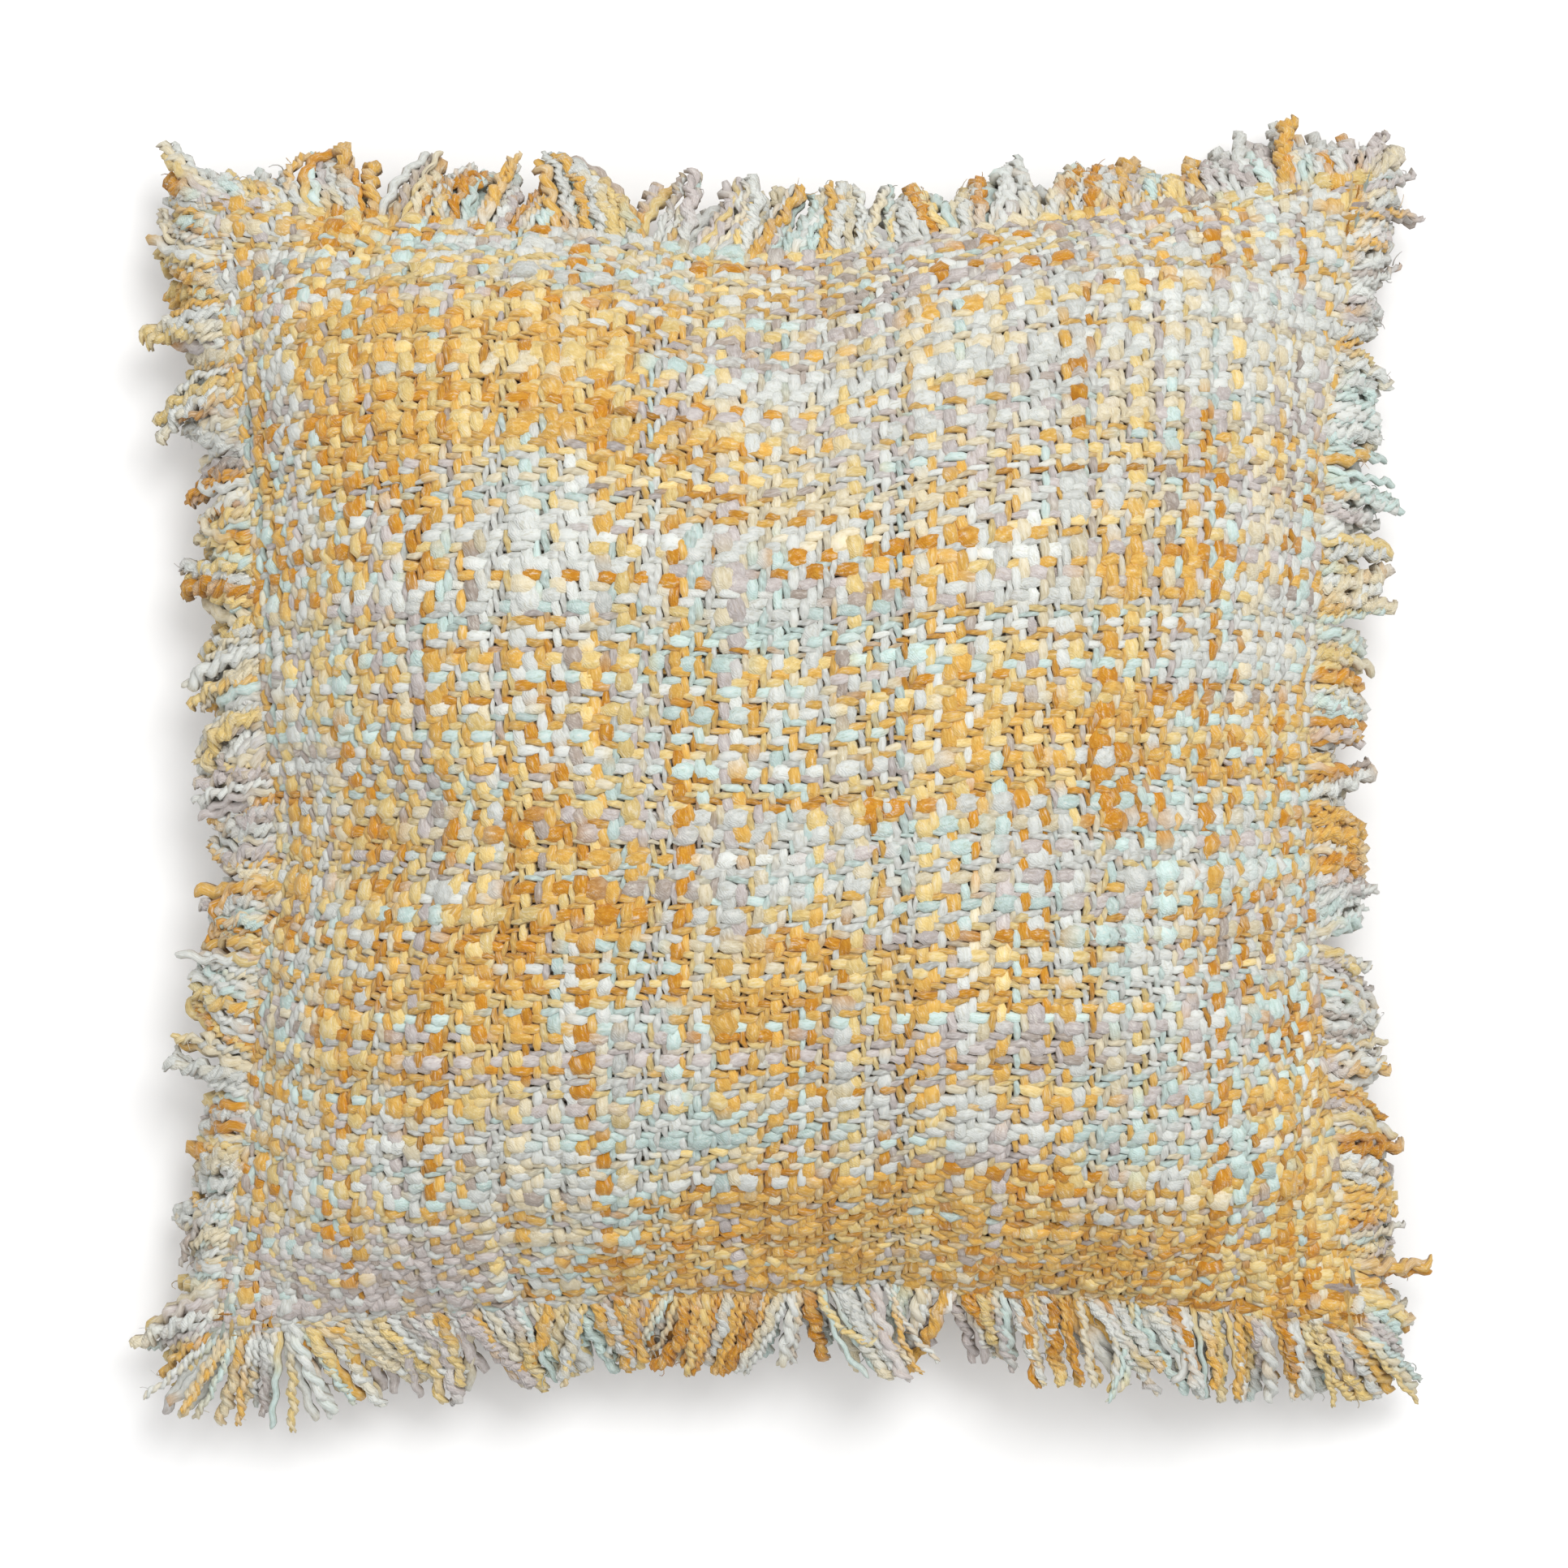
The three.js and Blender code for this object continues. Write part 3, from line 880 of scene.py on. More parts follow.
def lengths_along(line):
    steps = np.linalg.norm(np.diff(line, axis=0), axis=1)
    return np.concatenate([[0], np.cumsum(steps)])


def weave_yarn(form, loom, name, number, weave):
    """One yarn of a panel, laid over and under the others two by two."""
    own = loom.warp if name == "warp" else loom.weft
    rings, sides = BACK_RINGS, BACK_SIDES
    if loom.front:
        thin = YARN_SORTS[own.sort[number]]["name"] == "two-ply"
        rings, sides = THIN_RINGS if thin else THICK_RINGS, FRONT_SIDES
    other = loom.crossing[name]
    rng = own.rng
    float_middle = number - 2.5 if name == "warp" else number + 0.5
    repeats = np.arange(-1, other.count // TWILL_REPEAT + 2) * TWILL_REPEAT
    ring = {key: np.array([ring[key] for ring in rings]) for key in rings[0]}
    crossing = (float_middle % TWILL_REPEAT) + repeats[:, None] + ring["at"]
    rise, swell, slant = (
        np.broadcast_to(ring[key], crossing.shape).ravel() for key in ("rise", "width", "slant")
    )
    crossing = crossing.ravel()
    inside = (crossing > -0.3) & (crossing < other.count - 0.7)
    crossing = np.concatenate([[-0.5], crossing[inside], [other.count - 0.5]])
    rise = np.concatenate([[0], rise[inside], [0]])
    swell = np.concatenate([[1], swell[inside], [1]])
    slant = np.concatenate([[0], slant[inside], [0]])

    index = np.arange(other.count)
    edges = np.concatenate([[-0.5], index, [other.count - 0.5]])
    across = np.interp(crossing, edges, np.concatenate([[-1], other.place, [1]]))
    radius = np.interp(crossing, index, own.radius[number])
    fluff = np.interp(crossing, index, own.fluff[number])
    ply = np.interp(crossing, index, own.ply[number])
    met = np.interp(crossing, index, other.radius[:, number])
    met_height = met * np.interp(crossing, index, other.height)
    stray = np.interp(crossing, index, own.stray[number])
    dye = np.stack([np.interp(crossing, index, own.dye[number, :, c]) for c in range(3)], -1)

    slant = slant * own.slant[number] + rng.normal(0, 0.6, len(crossing))
    stray = stray + slant * own.waver[number]
    here = np.full(len(crossing), own.place[number])
    u, v = (here, across) if name == "warp" else (across, here)
    shift = loom.drift(u, v, weave.drift)
    u = u + shift[0]
    v = v + shift[1]
    point, along_u, along_v, out = form.surface(u, v, loom.front)
    sideways = along_u if name == "warp" else along_v

    own_height = radius * own.height[number]
    lift = (own_height + met_height) * met**2 / (radius**2 + met**2) * rise
    floats = len(crossing) // len(rings) + 1
    float_size = np.repeat(rng.uniform(*PUFF_SIZES, floats), len(rings))
    puff = np.where(rise > 0, 1 + fluff * float_size[: len(crossing)], 1)
    swell = swell * puff
    depth = form.depth(u, v, most=weave.cloth_depth, share=0.15)
    centre = point + out * (lift - depth)[:, None] + sideways * stray[:, None]
    half_width = radius * swell
    half_height = own_height * np.sqrt(swell)
    centre[:, 2] = np.maximum(centre[:, 2], half_height + FLOOR_GAP)
    forward = unit(np.gradient(centre, axis=0))
    side = unit(np.cross(out, forward))
    up = np.cross(forward, side)
    tube = ring_points(centre, side, up, half_width, half_height, sides)
    lump = 1 + TUBE_UNEVENNESS * (fluff**2)[:, None, None] * rng.normal(0, 1, tube.shape[:2] + (1,))
    tube = centre[:, None] + (tube - centre[:, None]) * lump
    tube[..., 2] = np.maximum(tube[..., 2], FLOOR_GAP)
    # The make's third value is 1 on a float and 0 where the yarn dives under; the material paints shade by it
    make = np.stack([ply, fluff, np.clip(rise * 0.5 + 0.5, 0, 1)], -1)
    return tube, lengths_along(centre), dye * (1 + rng.normal(0, 0.03)), make


def weave_piece(form, loom, name, numbers, weave, title, material):
    pile = YarnPile()
    for number in numbers:
        pile.add(*weave_yarn(form, loom, name, number, weave))
    return finish_piece(pile.build(title, material))


def finish_piece(piece):
    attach(piece, "root")
    return piece


# The fringe


def fringe_pull(side, t):
    pull = np.zeros((len(t), len(DYE_NAMES)))
    for place in FRINGE_PLACES[side]:
        middle = (place["from"] + place["to"]) / 2
        half = (place["to"] - place["from"]) / 2
        strength = FRINGE_PULL * place["pull"] * np.exp(-(((t - middle) / half) ** 6))
        pull += strength[:, None] * hue_pull(place["hue"])
    return pull


class Strands:
    """The frayed ends of one panel along one side of the seam."""

    STEPS = 40
    LEAN_SPAN = 0.16
    ROOT_DEPTH = 3.0 * MM
    LAYER_RISE = 1.3 * MM
    LOWEST = 4 * MM
    FRONT_PULLS = {"pale": 0.25, "aqua": 0.2}
    BACK_PULLS = {"pale": 0.7, "aqua": 0.4}
    CLUMP = 5
    DYE_STOPS = 9
    DYE_RUN = 8
    END_SHARES = (0.93, 0.975, 1.0)
    END_WIDTHS = (0.95, 0.68, 0.22)
    PLY_SIDES = {"two-ply": 3, "medium": 3, "roving": 4, "looped": 4}
    SINGLE_SIDES = {"front": 5, "back": 4}
    SINGLE_RINGS = 0.75
    PLY_SHARES = (0.9, 0.64, 0.56)
    FIBRES = 150
    FIBRE_RINGS = 5
    FIBRE_RADIUS = 0.16 * MM

    def __init__(self, form, side, loom, fringe, dyes, seed):
        rng = np.random.default_rng(seed)
        own = loom.warp if side in ("top", "bottom") else loom.weft
        last = -1 if side in ("top", "right") else 0
        self.rng = rng
        self.manner = HANGING[side]
        self.sort = own.sort
        self.front = loom.front
        self.radius = own.radius[:, last]
        self.fluff = own.fluff[:, last]
        t = np.clip(own.place + rng.normal(0, 0.002, own.count), -0.995, 0.995)
        pull = fringe_pull(side, t)
        for hue, strength in (self.FRONT_PULLS if loom.front else self.BACK_PULLS).items():
            pull = pull + strength * hue_pull(hue)
        pull = np.repeat(pull[:, None], self.DYE_STOPS, axis=1)
        self.dye = dye_yarns(rng, dyes, pull, self.DYE_RUN)
        self.dye[:, 0] = own.dye[:, last]
        self.lock = np.cumsum(rng.random(own.count) < 1 / self.CLUMP)
        root, along, out = form.seam(side, t, self.LEAN_SPAN)
        layer = 1 if loom.front else -1
        self.lines = self.hang(t, root, along, out, layer, side, fringe)

    def clumps(self):
        """A random number for each strand that it shares with its lock."""
        return self.rng.normal(0, 1, self.lock[-1] + 1)[self.lock]

    def hang(self, t, root, along, out, layer, side, fringe):
        """Lines of the strands, level out of the seam and then drooping, turned and clumped."""
        rng = self.rng
        count = len(t)
        turn = self.manner["turn"]
        share = (np.arange(self.STEPS) + 0.5) / self.STEPS
        length = fringe.length * (1 + 0.07 * self.clumps() + rng.normal(0, 0.07, count))
        lean = np.radians(self.at_places(t, LEANS[side]))
        reach = self.at_places(t, REACHES[side]) * MM / np.cos(0.8 * lean)
        droop = np.arccos(np.clip((reach / fringe.length - 0.2) / 0.8, 0.1, 1))
        droop = droop - layer * 0.10 + 0.14 * self.clumps() + rng.normal(0, 0.08, count)
        sway = fringe.sway * self.clumps() + rng.normal(0, 0.10, count)
        lean = lean + sway * (1 - t**8) + fringe.corner_fan * np.sign(t) * np.abs(t) ** 9
        aside = turn * (0.7 * self.clumps() + rng.normal(0, 0.7, count))
        hairpin = (rng.random(count) < self.manner["hairpins"]) & (np.abs(t) < 0.86)
        aside = np.where(hairpin, np.sign(aside) * rng.uniform(2.0, 2.9, count), aside)
        yaw = lean[:, None] + aside[:, None] * share**1.8
        dip = rng.normal(0, 0.35, (count, 1)) * share**2
        pitch = droop[:, None] * np.clip(share / 0.35, 0, 1) ** 0.8 + dip
        level = out[:, None] * np.cos(yaw)[..., None] + along[:, None] * np.sin(yaw)[..., None]
        ahead = level * np.cos(pitch)[..., None]
        ahead[..., 2] -= np.sin(pitch)
        steps = ahead * (length / self.STEPS)[:, None, None]
        start = root - level[:, 0] * self.ROOT_DEPTH
        start[:, 2] += layer * self.LAYER_RISE
        steps[:, 0] += level[:, 0] * self.ROOT_DEPTH
        lines = np.concatenate([start[:, None], start[:, None] + np.cumsum(steps, axis=1)], axis=1)
        middles = np.stack([lines[self.lock == number].mean(0) for number in self.lock])
        gathered = self.manner["gather"] * (1 - t**8)[:, None] * np.linspace(0, 1, self.STEPS + 1) ** 1.2
        lines += (middles - lines) * gathered[..., None]
        lines[..., 2] = np.maximum(lines[..., 2], self.LOWEST)
        return lines

    def at_places(self, t, values):
        return np.interp(t, np.linspace(-1, 1, len(values)), values)

    def lay(self, pile):
        for number in range(len(self.sort)):
            kind = YARN_SORTS[self.sort[number]]["name"]
            if kind == "two-ply" and not self.front:
                continue
            rope = self.rng.random() < self.manner["ropes"]
            tubes = END_SORTS[kind]["tubes"] if rope or kind == "looped" else 1
            if not self.front:
                tubes = 2 if kind == "looped" else 1
            self.strand(pile, number, kind, tubes)
        if self.front:
            self.stray_fibres(pile)

    def stray_fibres(self, pile):
        """Fine loose fibres that curl out of the strands."""
        rng = self.rng
        share = np.linspace(0, 1, self.FIBRE_RINGS)
        for number in rng.integers(0, len(self.sort), self.FIBRES):
            leaves = rng.uniform(0.2, 0.97)
            point, _, aside, up = self.along_line(number, leaves + np.array([-0.02, 0.0, 0.02]))
            ahead = np.cross(up[1], aside[1])
            way = rng.normal(0, 1) * aside[1] + rng.normal(0.4, 0.7) * up[1] + rng.normal(0, 0.8) * ahead
            way = unit(way)
            bend = unit(np.cross(way, rng.normal(0, 1, 3)))
            turned = share * rng.uniform(0.6, 3.4)
            heading = np.cos(turned)[:, None] * way + np.sin(turned)[:, None] * bend
            length = rng.uniform(4, 10) * MM
            line = point[1] + np.cumsum(heading, axis=0) * length / self.FIBRE_RINGS
            line[:, 2] = np.maximum(line[:, 2], MM)
            across = np.broadcast_to(unit(np.cross(way, bend)), line.shape)
            radius = self.FIBRE_RADIUS * (1.2 - 0.7 * share)
            ring = ring_points(line, across, unit(np.cross(heading, across)), radius, radius, 3)
            pale = mix(self.colours(number, np.full(len(share), leaves)), 0.72, 0.35)
            pile.add(ring, lengths_along(line), pale, np.broadcast_to([0.0, 0.2, 1.0], (len(share), 3)))

    def along_line(self, number, share):
        """Points at some shares of a strand's length, with unit vectors aside and up."""
        line = self.lines[number]
        length = lengths_along(line)
        place = share * length[-1]
        point = np.stack([np.interp(place, length, line[:, axis]) for axis in range(3)], -1)
        forward = unit(np.gradient(point, axis=0))
        aside = unit(np.cross(forward, np.array([0, 0, 1.0])))
        return point, place, aside, np.cross(aside, forward)

    def colours(self, number, share):
        place = share * (self.dye.shape[1] - 1)
        index = np.arange(self.dye.shape[1])
        return np.stack([np.interp(place, index, self.dye[number, :, c]) for c in range(3)], -1)

    def strand(self, pile, number, kind, tubes):
        """One wavy tube, or plies that turn round each other, with a soft blunt end."""
        rng = self.rng
        end = END_SORTS[kind]
        panel = "front" if self.front else "back"
        sides = self.PLY_SIDES[kind] if tubes > 1 else self.SINGLE_SIDES[panel]
        fluff = self.fluff[number]
        matting = self.manner["matting"]
        length = lengths_along(self.lines[number])[-1]
        turn_length = end["turn"] * MM * rng.uniform(0.85, 1.2)
        rings = int(length / turn_length * end["rings"] * (self.SINGLE_RINGS if tubes == 1 else 1)) + 2
        share = np.concatenate([np.linspace(0, 0.88, rings), self.END_SHARES])
        point, place, aside, up = self.along_line(number, share)
        start = rng.uniform(0, math.tau)
        radius = end["radius"] * MM * self.manner["fullness"] * rng.uniform(0.85, 1.15)
        swell = 1 + 0.10 * np.sin(place / (5.5 * MM) + start) + 0.05 * fluff * np.sin(place / (1.7 * MM))
        width = radius * swell * (0.75 + 0.25 * np.minimum(share * 6, 1))
        wave = end["wave"] * MM * matting * np.minimum(share * 4, 1)
        slow = math.tau * place / (11 * MM) + start
        point = point + aside * (np.cos(slow) * wave)[:, None]
        point = point + up * (0.7 * np.sin(0.8 * slow) * wave)[:, None]
        own_dye = self.colours(number, share)
        next_dye = self.colours((number + 1) % len(self.sort), share)
        make = np.broadcast_to([0.2 if tubes == 1 else 0.0, max(fluff, 0.25), 1.0], (len(share), 3))
        for tube_number in range(tubes):
            turned = math.tau * place / turn_length + start + math.tau * tube_number / tubes
            turned = turned + 0.7 * fluff * np.sin(0.6 * turned + tube_number)
            apart = aside * np.cos(turned)[:, None] + up * np.sin(turned)[:, None]
            centre = point + apart * (width * (0 if tubes == 1 else 0.45))[:, None]
            ply = width * self.PLY_SHARES[tubes - 1]
            ply[-3:] *= self.END_WIDTHS
            ring = ring_points(centre, aside, up, ply, ply * 0.92, sides)
            dye = mix(own_dye, next_dye, 0.3 * (tube_number % 2))
            pile.add(ring, lengths_along(centre), dye, make)


# Finishes, with painted shade on the yarns and on the padding


def new_group(name, inputs, outputs):
    """A node group. inputs are (name, kind, default), and outputs (name, kind)."""
    group = bpy.data.node_groups.new(name, "ShaderNodeTree")
    for socket, kind, default in inputs:
        made = group.interface.new_socket(socket, in_out="INPUT", socket_type=f"NodeSocket{kind}")
        if default is not None:
            made.default_value = default
    for socket, kind in outputs:
        group.interface.new_socket(socket, in_out="OUTPUT", socket_type=f"NodeSocket{kind}")
    given = group.nodes.new("NodeGroupInput").outputs
    return group, Wires(group), given, group.nodes.new("NodeGroupOutput")


def new_material(name):
    material = bpy.data.materials.new(name)
    material.use_nodes = True
    wires = Wires(material.node_tree)
    place = wires.node("ShaderNodeTexCoord").outputs["Object"]
    return material, wires, material.node_tree.nodes["Principled BSDF"], place


class Wires:
    """Short ways to add the nodes of one tree."""

    def __init__(self, tree):
        self.tree = tree

    def fill(self, node, inputs):
        """Give inputs their constants, or join them to the sockets that feed them."""
        for name, value in inputs.items():
            if isinstance(value, bpy.types.NodeSocket):
                self.tree.links.new(value, node.inputs[name])
            else:
                node.inputs[name].default_value = value
        return node

    def node(self, kind, inputs=None, **settings):
        made = self.tree.nodes.new(kind)
        for key, value in settings.items():
            setattr(made, key, value)
        return self.fill(made, inputs or {})

    def group(self, tree, inputs):
        return self.node("ShaderNodeGroup", node_tree=tree, inputs=inputs).outputs

    def split(self, vector):
        return self.node("ShaderNodeSeparateXYZ", {0: vector}).outputs

    def maths(self, operation, *values, clamp=False):
        made = self.node("ShaderNodeMath", dict(enumerate(values)), operation=operation, use_clamp=clamp)
        return made.outputs[0]

    def vector_maths(self, operation, *values):
        return self.node("ShaderNodeVectorMath", dict(enumerate(values)), operation=operation).outputs[0]

    def blend(self, share, first, second, mode="MIX"):
        inputs = {0: share, 6: first, 7: second}
        return self.node("ShaderNodeMix", inputs, data_type="RGBA", blend_type=mode).outputs[2]

    def noise(self, vector, scale, detail, rough):
        inputs = {"Vector": vector, "Scale": scale, "Detail": detail, "Roughness": rough}
        return self.node("ShaderNodeTexNoise", inputs).outputs["Fac"]

    def stretch(self, value, low, high, to_low=0.0, to_high=1.0):
        inputs = {"Value": value, "From Min": low, "From Max": high, "To Min": to_low, "To Max": to_high}
        return self.node("ShaderNodeMapRange", inputs).outputs["Result"]

    def bump(self, height, strength=1.0):
        inputs = {"Strength": strength, "Distance": BUMP_DEPTH, "Height": height}
        return self.node("ShaderNodeBump", inputs).outputs["Normal"]


def spun_twist_group():
    """Grooves between the plies of a spun yarn, from its own map, as a bump height and as a mask for painted
    shade.
    """
    group, wires, given, made = new_group(
        "Spun twist",
        [("Yarn map", "Vector", None), ("Pitch", "Float", TWIST_PITCH)],
        [("Height", "Float"), ("Groove", "Float")],
    )
    length, turn, _ = wires.split(given["Yarn map"])
    along = wires.maths("DIVIDE", length, given["Pitch"])
    uneven = wires.noise(given["Yarn map"], 170.0, 1.0, 0.5)
    wandering = wires.maths("MULTIPLY_ADD", uneven, 1.4, along)
    turned = wires.maths("MULTIPLY_ADD", turn, 2.0, wandering)
    wave = wires.maths("SINE", wires.maths("MULTIPLY", turned, math.tau))
    height = wires.maths("MULTIPLY_ADD", wave, 0.5, 0.5)
    # Groove is 1 in the low parts of the twist, and masks the painted shade there
    groove = wires.maths("SUBTRACT", 1.0, wires.stretch(height, 0.0, 0.35), clamp=True)
    wires.fill(made, {"Height": wires.maths("POWER", height, 0.6), "Groove": groove})
    return group


def wool_fibre_group():
    """Loose fibres: long streaks down the yarn, and curls where it is fluffy."""
    group, wires, given, made = new_group(
        "Wool fibre",
        [("Yarn map", "Vector", None), ("Place", "Vector", None), ("Fluff", "Float", 0.2)],
        [("Height", "Float"), ("Streak", "Float"), ("Curl", "Float")],
    )
    drawn_out = wires.vector_maths("MULTIPLY", given["Yarn map"], (300.0, 20.0, 1.0))
    apart = wires.vector_maths("MULTIPLY_ADD", given["Place"], (90.0, 90.0, 90.0), drawn_out)
    streak = wires.noise(apart, 1.0, 3.0, 0.65)
    fine = wires.noise(given["Place"], 1500.0, 2.0, 0.6)
    lock = wires.stretch(wires.noise(given["Place"], 360.0, 1.0, 0.5), 0.38, 0.62)
    curls = {"Vector": given["Place"], "Scale": 430.0, "Distortion": 11.0, "Detail": 1.0, "Detail Scale": 0.8}
    strand = wires.node("ShaderNodeTexWave", curls, wave_type="BANDS", bands_direction="DIAGONAL")
    curl = wires.maths("MULTIPLY_ADD", strand.outputs["Fac"], 0.45, wires.maths("MULTIPLY", lock, 0.55))
    curled = wires.maths("MULTIPLY_ADD", fine, 0.25, wires.maths("MULTIPLY", curl, 0.7))
    plain = wires.maths("MULTIPLY_ADD", fine, 0.30, wires.maths("MULTIPLY", streak, 0.45))
    height = wires.node("ShaderNodeMix", {0: given["Fluff"], 2: plain, 3: curled}, data_type="FLOAT")
    wires.fill(made, {"Height": height.outputs[0], "Streak": streak, "Curl": curl})
    return group


def space_dye_and_shade_group():
    """Uneven uptake of the dye and paler rubbed fibres, with painted shade in the grooves, down the sides and
    where the yarn dives under.
    """
    group, wires, given, made = new_group(
        "Space dye and painted shade",
        [
            ("Dye", "Color", None),
            ("Yarn map", "Vector", None),
            ("Place", "Vector", None),
            ("Streak", "Float", 0.5),
            ("Curl", "Float", 0.5),
            ("Groove", "Float", 0.0),
            ("Fluff", "Float", 0.2),
            ("Top", "Float", 1.0),
        ],
        [("Colour", "Color")],
    )
    fleck = wires.noise(given["Place"], 300.0, 3.0, 0.6)
    strong = wires.node("ShaderNodeGamma", {"Color": given["Dye"], "Gamma": 1.28}).outputs[0]
    uptake = wires.maths("MULTIPLY_ADD", given["Fluff"], 0.5, 0.45)
    deeper_share = wires.maths("MULTIPLY", wires.stretch(fleck, 0.47, 0.68), uptake)
    deeper = wires.blend(deeper_share, given["Dye"], strong)
    dull = wires.blend(1.0, strong, TINTS["dull_streak"], "MULTIPLY")
    streaked = wires.blend(wires.stretch(given["Streak"], 0.49, 0.34, 0.0, 0.75), deeper, dull)
    rubbed_share = wires.stretch(given["Streak"], 0.53, 0.70, 0.0, 0.55)
    paler = wires.blend(rubbed_share, streaked, TINTS["rubbed_fibre"])
    curled_share = wires.maths("MULTIPLY", wires.stretch(given["Curl"], 0.55, 0.1, 0.0, 0.8), given["Fluff"])
    curled = wires.blend(curled_share, paler, strong)

    # Painted shade: darker down each yarn's sides, where it dives under the yarns it crosses, and in the
    # grooves of its twist
    _, turn, _ = wires.split(given["Yarn map"])
    upward = wires.maths("COSINE", wires.maths("MULTIPLY", turn, math.tau))
    side = wires.stretch(upward, 0.45, -0.3, 0.0, 0.55)
    under = wires.stretch(given["Top"], 0.40, 0.0, 0.0, 0.45)
    groove = wires.maths("MULTIPLY", given["Groove"], 0.32)
    shade = wires.maths("MAXIMUM", wires.maths("MAXIMUM", side, under), groove)
    shaded = wires.blend(1.0, curled, TINTS["shade"], "MULTIPLY")
    wires.fill(made, {"Colour": wires.blend(shade, curled, shaded)})
    return group


def yarn_material(name, twist, fibre, dye, bump):
    material, wires, shader, place = new_material(name)
    yarn_map = wires.node("ShaderNodeUVMap", uv_map="yarn").outputs[0]
    dyed = wires.node("ShaderNodeAttribute", attribute_name="dye").outputs["Color"]
    make = wires.node("ShaderNodeAttribute", attribute_name="make").outputs["Vector"]
    ply, fluff, top = wires.split(make)
    twisting = wires.group(twist, {"Yarn map": yarn_map})
    fibres = wires.group(fibre, {"Yarn map": yarn_map, "Place": place, "Fluff": fluff})
    dye_and_shade_inputs = {
        "Dye": dyed,
        "Yarn map": yarn_map,
        "Place": place,
        "Streak": fibres["Streak"],
        "Curl": fibres["Curl"],
        # Painted shade in the twist grooves, as strong as the plies show
        "Groove": wires.maths("MULTIPLY", twisting["Groove"], ply),
        "Fluff": fluff,
        "Top": top,
    }
    twisted = wires.maths("MULTIPLY", twisting["Height"], ply)
    height = wires.maths("ADD", wires.maths("MULTIPLY", twisted, 0.45), fibres["Height"])
    finish = {
        "Base Color": wires.group(dye, dye_and_shade_inputs)["Colour"],
        "Normal": wires.bump(height, bump),
        "Roughness": wires.stretch(fibres["Streak"], 0.3, 0.7, 0.96, 0.80),
        "Specular IOR Level": 0.25,
        "Sheen Weight": 0.22,
        "Sheen Roughness": 0.55,
        "Sheen Tint": TINTS["sheen"],
    }
    wires.fill(shader, finish)
    return material


def padding_material():
    """The wool that shows between the yarns, in dark browns that are painted shade."""
    material, wires, shader, place = new_material("painted_shade_wool")
    fibre = wires.noise(place, 700.0, 4.0, 0.6)
    broad = wires.noise(place, 60.0, 2.0, 0.5)
    wool = wires.blend(wires.stretch(broad, 0.35, 0.65), TINTS["warm_wool_shade"], TINTS["cool_wool_shade"])
    finish = {
        "Base Color": wires.blend(wires.stretch(fibre, 0.4, 0.7), wool, TINTS["pale_wool_shade"]),
        "Roughness": wires.stretch(fibre, 0.3, 0.7, 0.9, 1.0),
        "Normal": wires.bump(fibre),
    }
    wires.fill(shader, finish)
    return material


def floor_material():
    material, wires, shader, place = new_material("pale_floor")
    grain = wires.noise(place, 8.0, 3.0, 0.5)
    finish = {
        "Base Color": wires.blend(grain, TINTS["floor"], TINTS["floor_grain"]),
        "Roughness": 0.9,
        "Specular IOR Level": 0.1,
        "Emission Color": TINTS["white"],
        "Emission Strength": 0.10,
    }
    wires.fill(shader, finish)
    return material


class Workshop:
    """What the operators share: the form, the looms and the finishes."""

    kept = None

    def __init__(self, scene):
        self.form = Form(scene.cushion_sizes)
        self.form.moved = Filling(self.form).simulate(scene)
        self.dyes = dye_table(scene.cushion_dyes)
        weave = scene.cushion_weave
        self.looms = {
            panel: Loom(seed, weave, self.dyes, panel == "front") for panel, seed in LOOM_SEEDS.items()
        }
        twist = spun_twist_group()
        fibre = wool_fibre_group()
        dye = space_dye_and_shade_group()
        self.cloth_yarn = yarn_material("cloth_yarn", twist, fibre, dye, 0.6)
        self.fringe_yarn = yarn_material("fringe_yarn", twist, fibre, dye, 0.75)

    @classmethod
    def open(cls, scene):
        if cls.kept is None:
            cls.kept = cls(scene)
        return cls.kept


# One operator for each piece or group of like pieces


class CUSHION_OT_padding(bpy.types.Operator):
    """Make the padded form that the woven cover lies on"""

    bl_idname = "cushion.padding"
    bl_label = "Padding"

    SEAM_SHARE = 0.955

    def execute(self, context):
        sizes = context.scene.cushion_sizes
        depth = context.scene.cushion_weave.padding_depth
        form = Workshop.open(context.scene).form
        shape = bmesh.new()
        for front in (True, False):
            cells = sizes.padding_cells
            made = bmesh.ops.create_grid(shape, x_segments=cells, y_segments=cells, size=1)
            corners = made["verts"]
            u = np.array([corner.co.x for corner in corners])
            v = np.array([corner.co.y for corner in corners])
            point, _, _, out = form.surface(u, v, front)
            point = point - out * form.depth(u, v, most=depth, share=0.3)[:, None]
            seam = np.maximum(np.abs(u), np.abs(v)) > SEAM_EDGE
            inside = self.SEAM_SHARE
            both = [form.point(u[seam] * inside, v[seam] * inside, panel) for panel in (True, False)]
            point[seam] = (both[0] + both[1]) / 2
            for corner, place in zip(corners, point):
                corner.co = Vector(place)
        bmesh.ops.remove_doubles(shape, verts=shape.verts, dist=1e-5)
        bmesh.ops.recalc_face_normals(shape, faces=shape.faces)
        mesh = bpy.data.meshes.new("padded_form")
        shape.to_mesh(mesh)
        shape.free()
        mesh.shade_smooth()
        # The padding's dark browns are painted shade in the gaps between the yarns
        mesh.materials.append(padding_material())
        piece = finish_piece(add_object("padded_form", mesh))
        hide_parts("cushion")
        return {"FINISHED"}


class CUSHION_OT_front_weave(bpy.types.Operator):
    """Weave the front panel, warp and weft"""

    bl_idname = "cushion.front_weave"
    bl_label = "Front weave"

    def execute(self, context):
        weave = context.scene.cushion_weave
        shop = Workshop.open(context.scene)
        loom = shop.looms["front"]
        for name, halves in (("warp", ("left", "right")), ("weft", ("lower", "upper"))):
            count = (loom.warp if name == "warp" else loom.weft).count
            for half, numbers in zip(halves, np.array_split(np.arange(count), 2)):
                title = f"front_{name}_{half}"
                weave_piece(shop.form, loom, name, numbers, weave, title, shop.cloth_yarn)
        return {"FINISHED"}


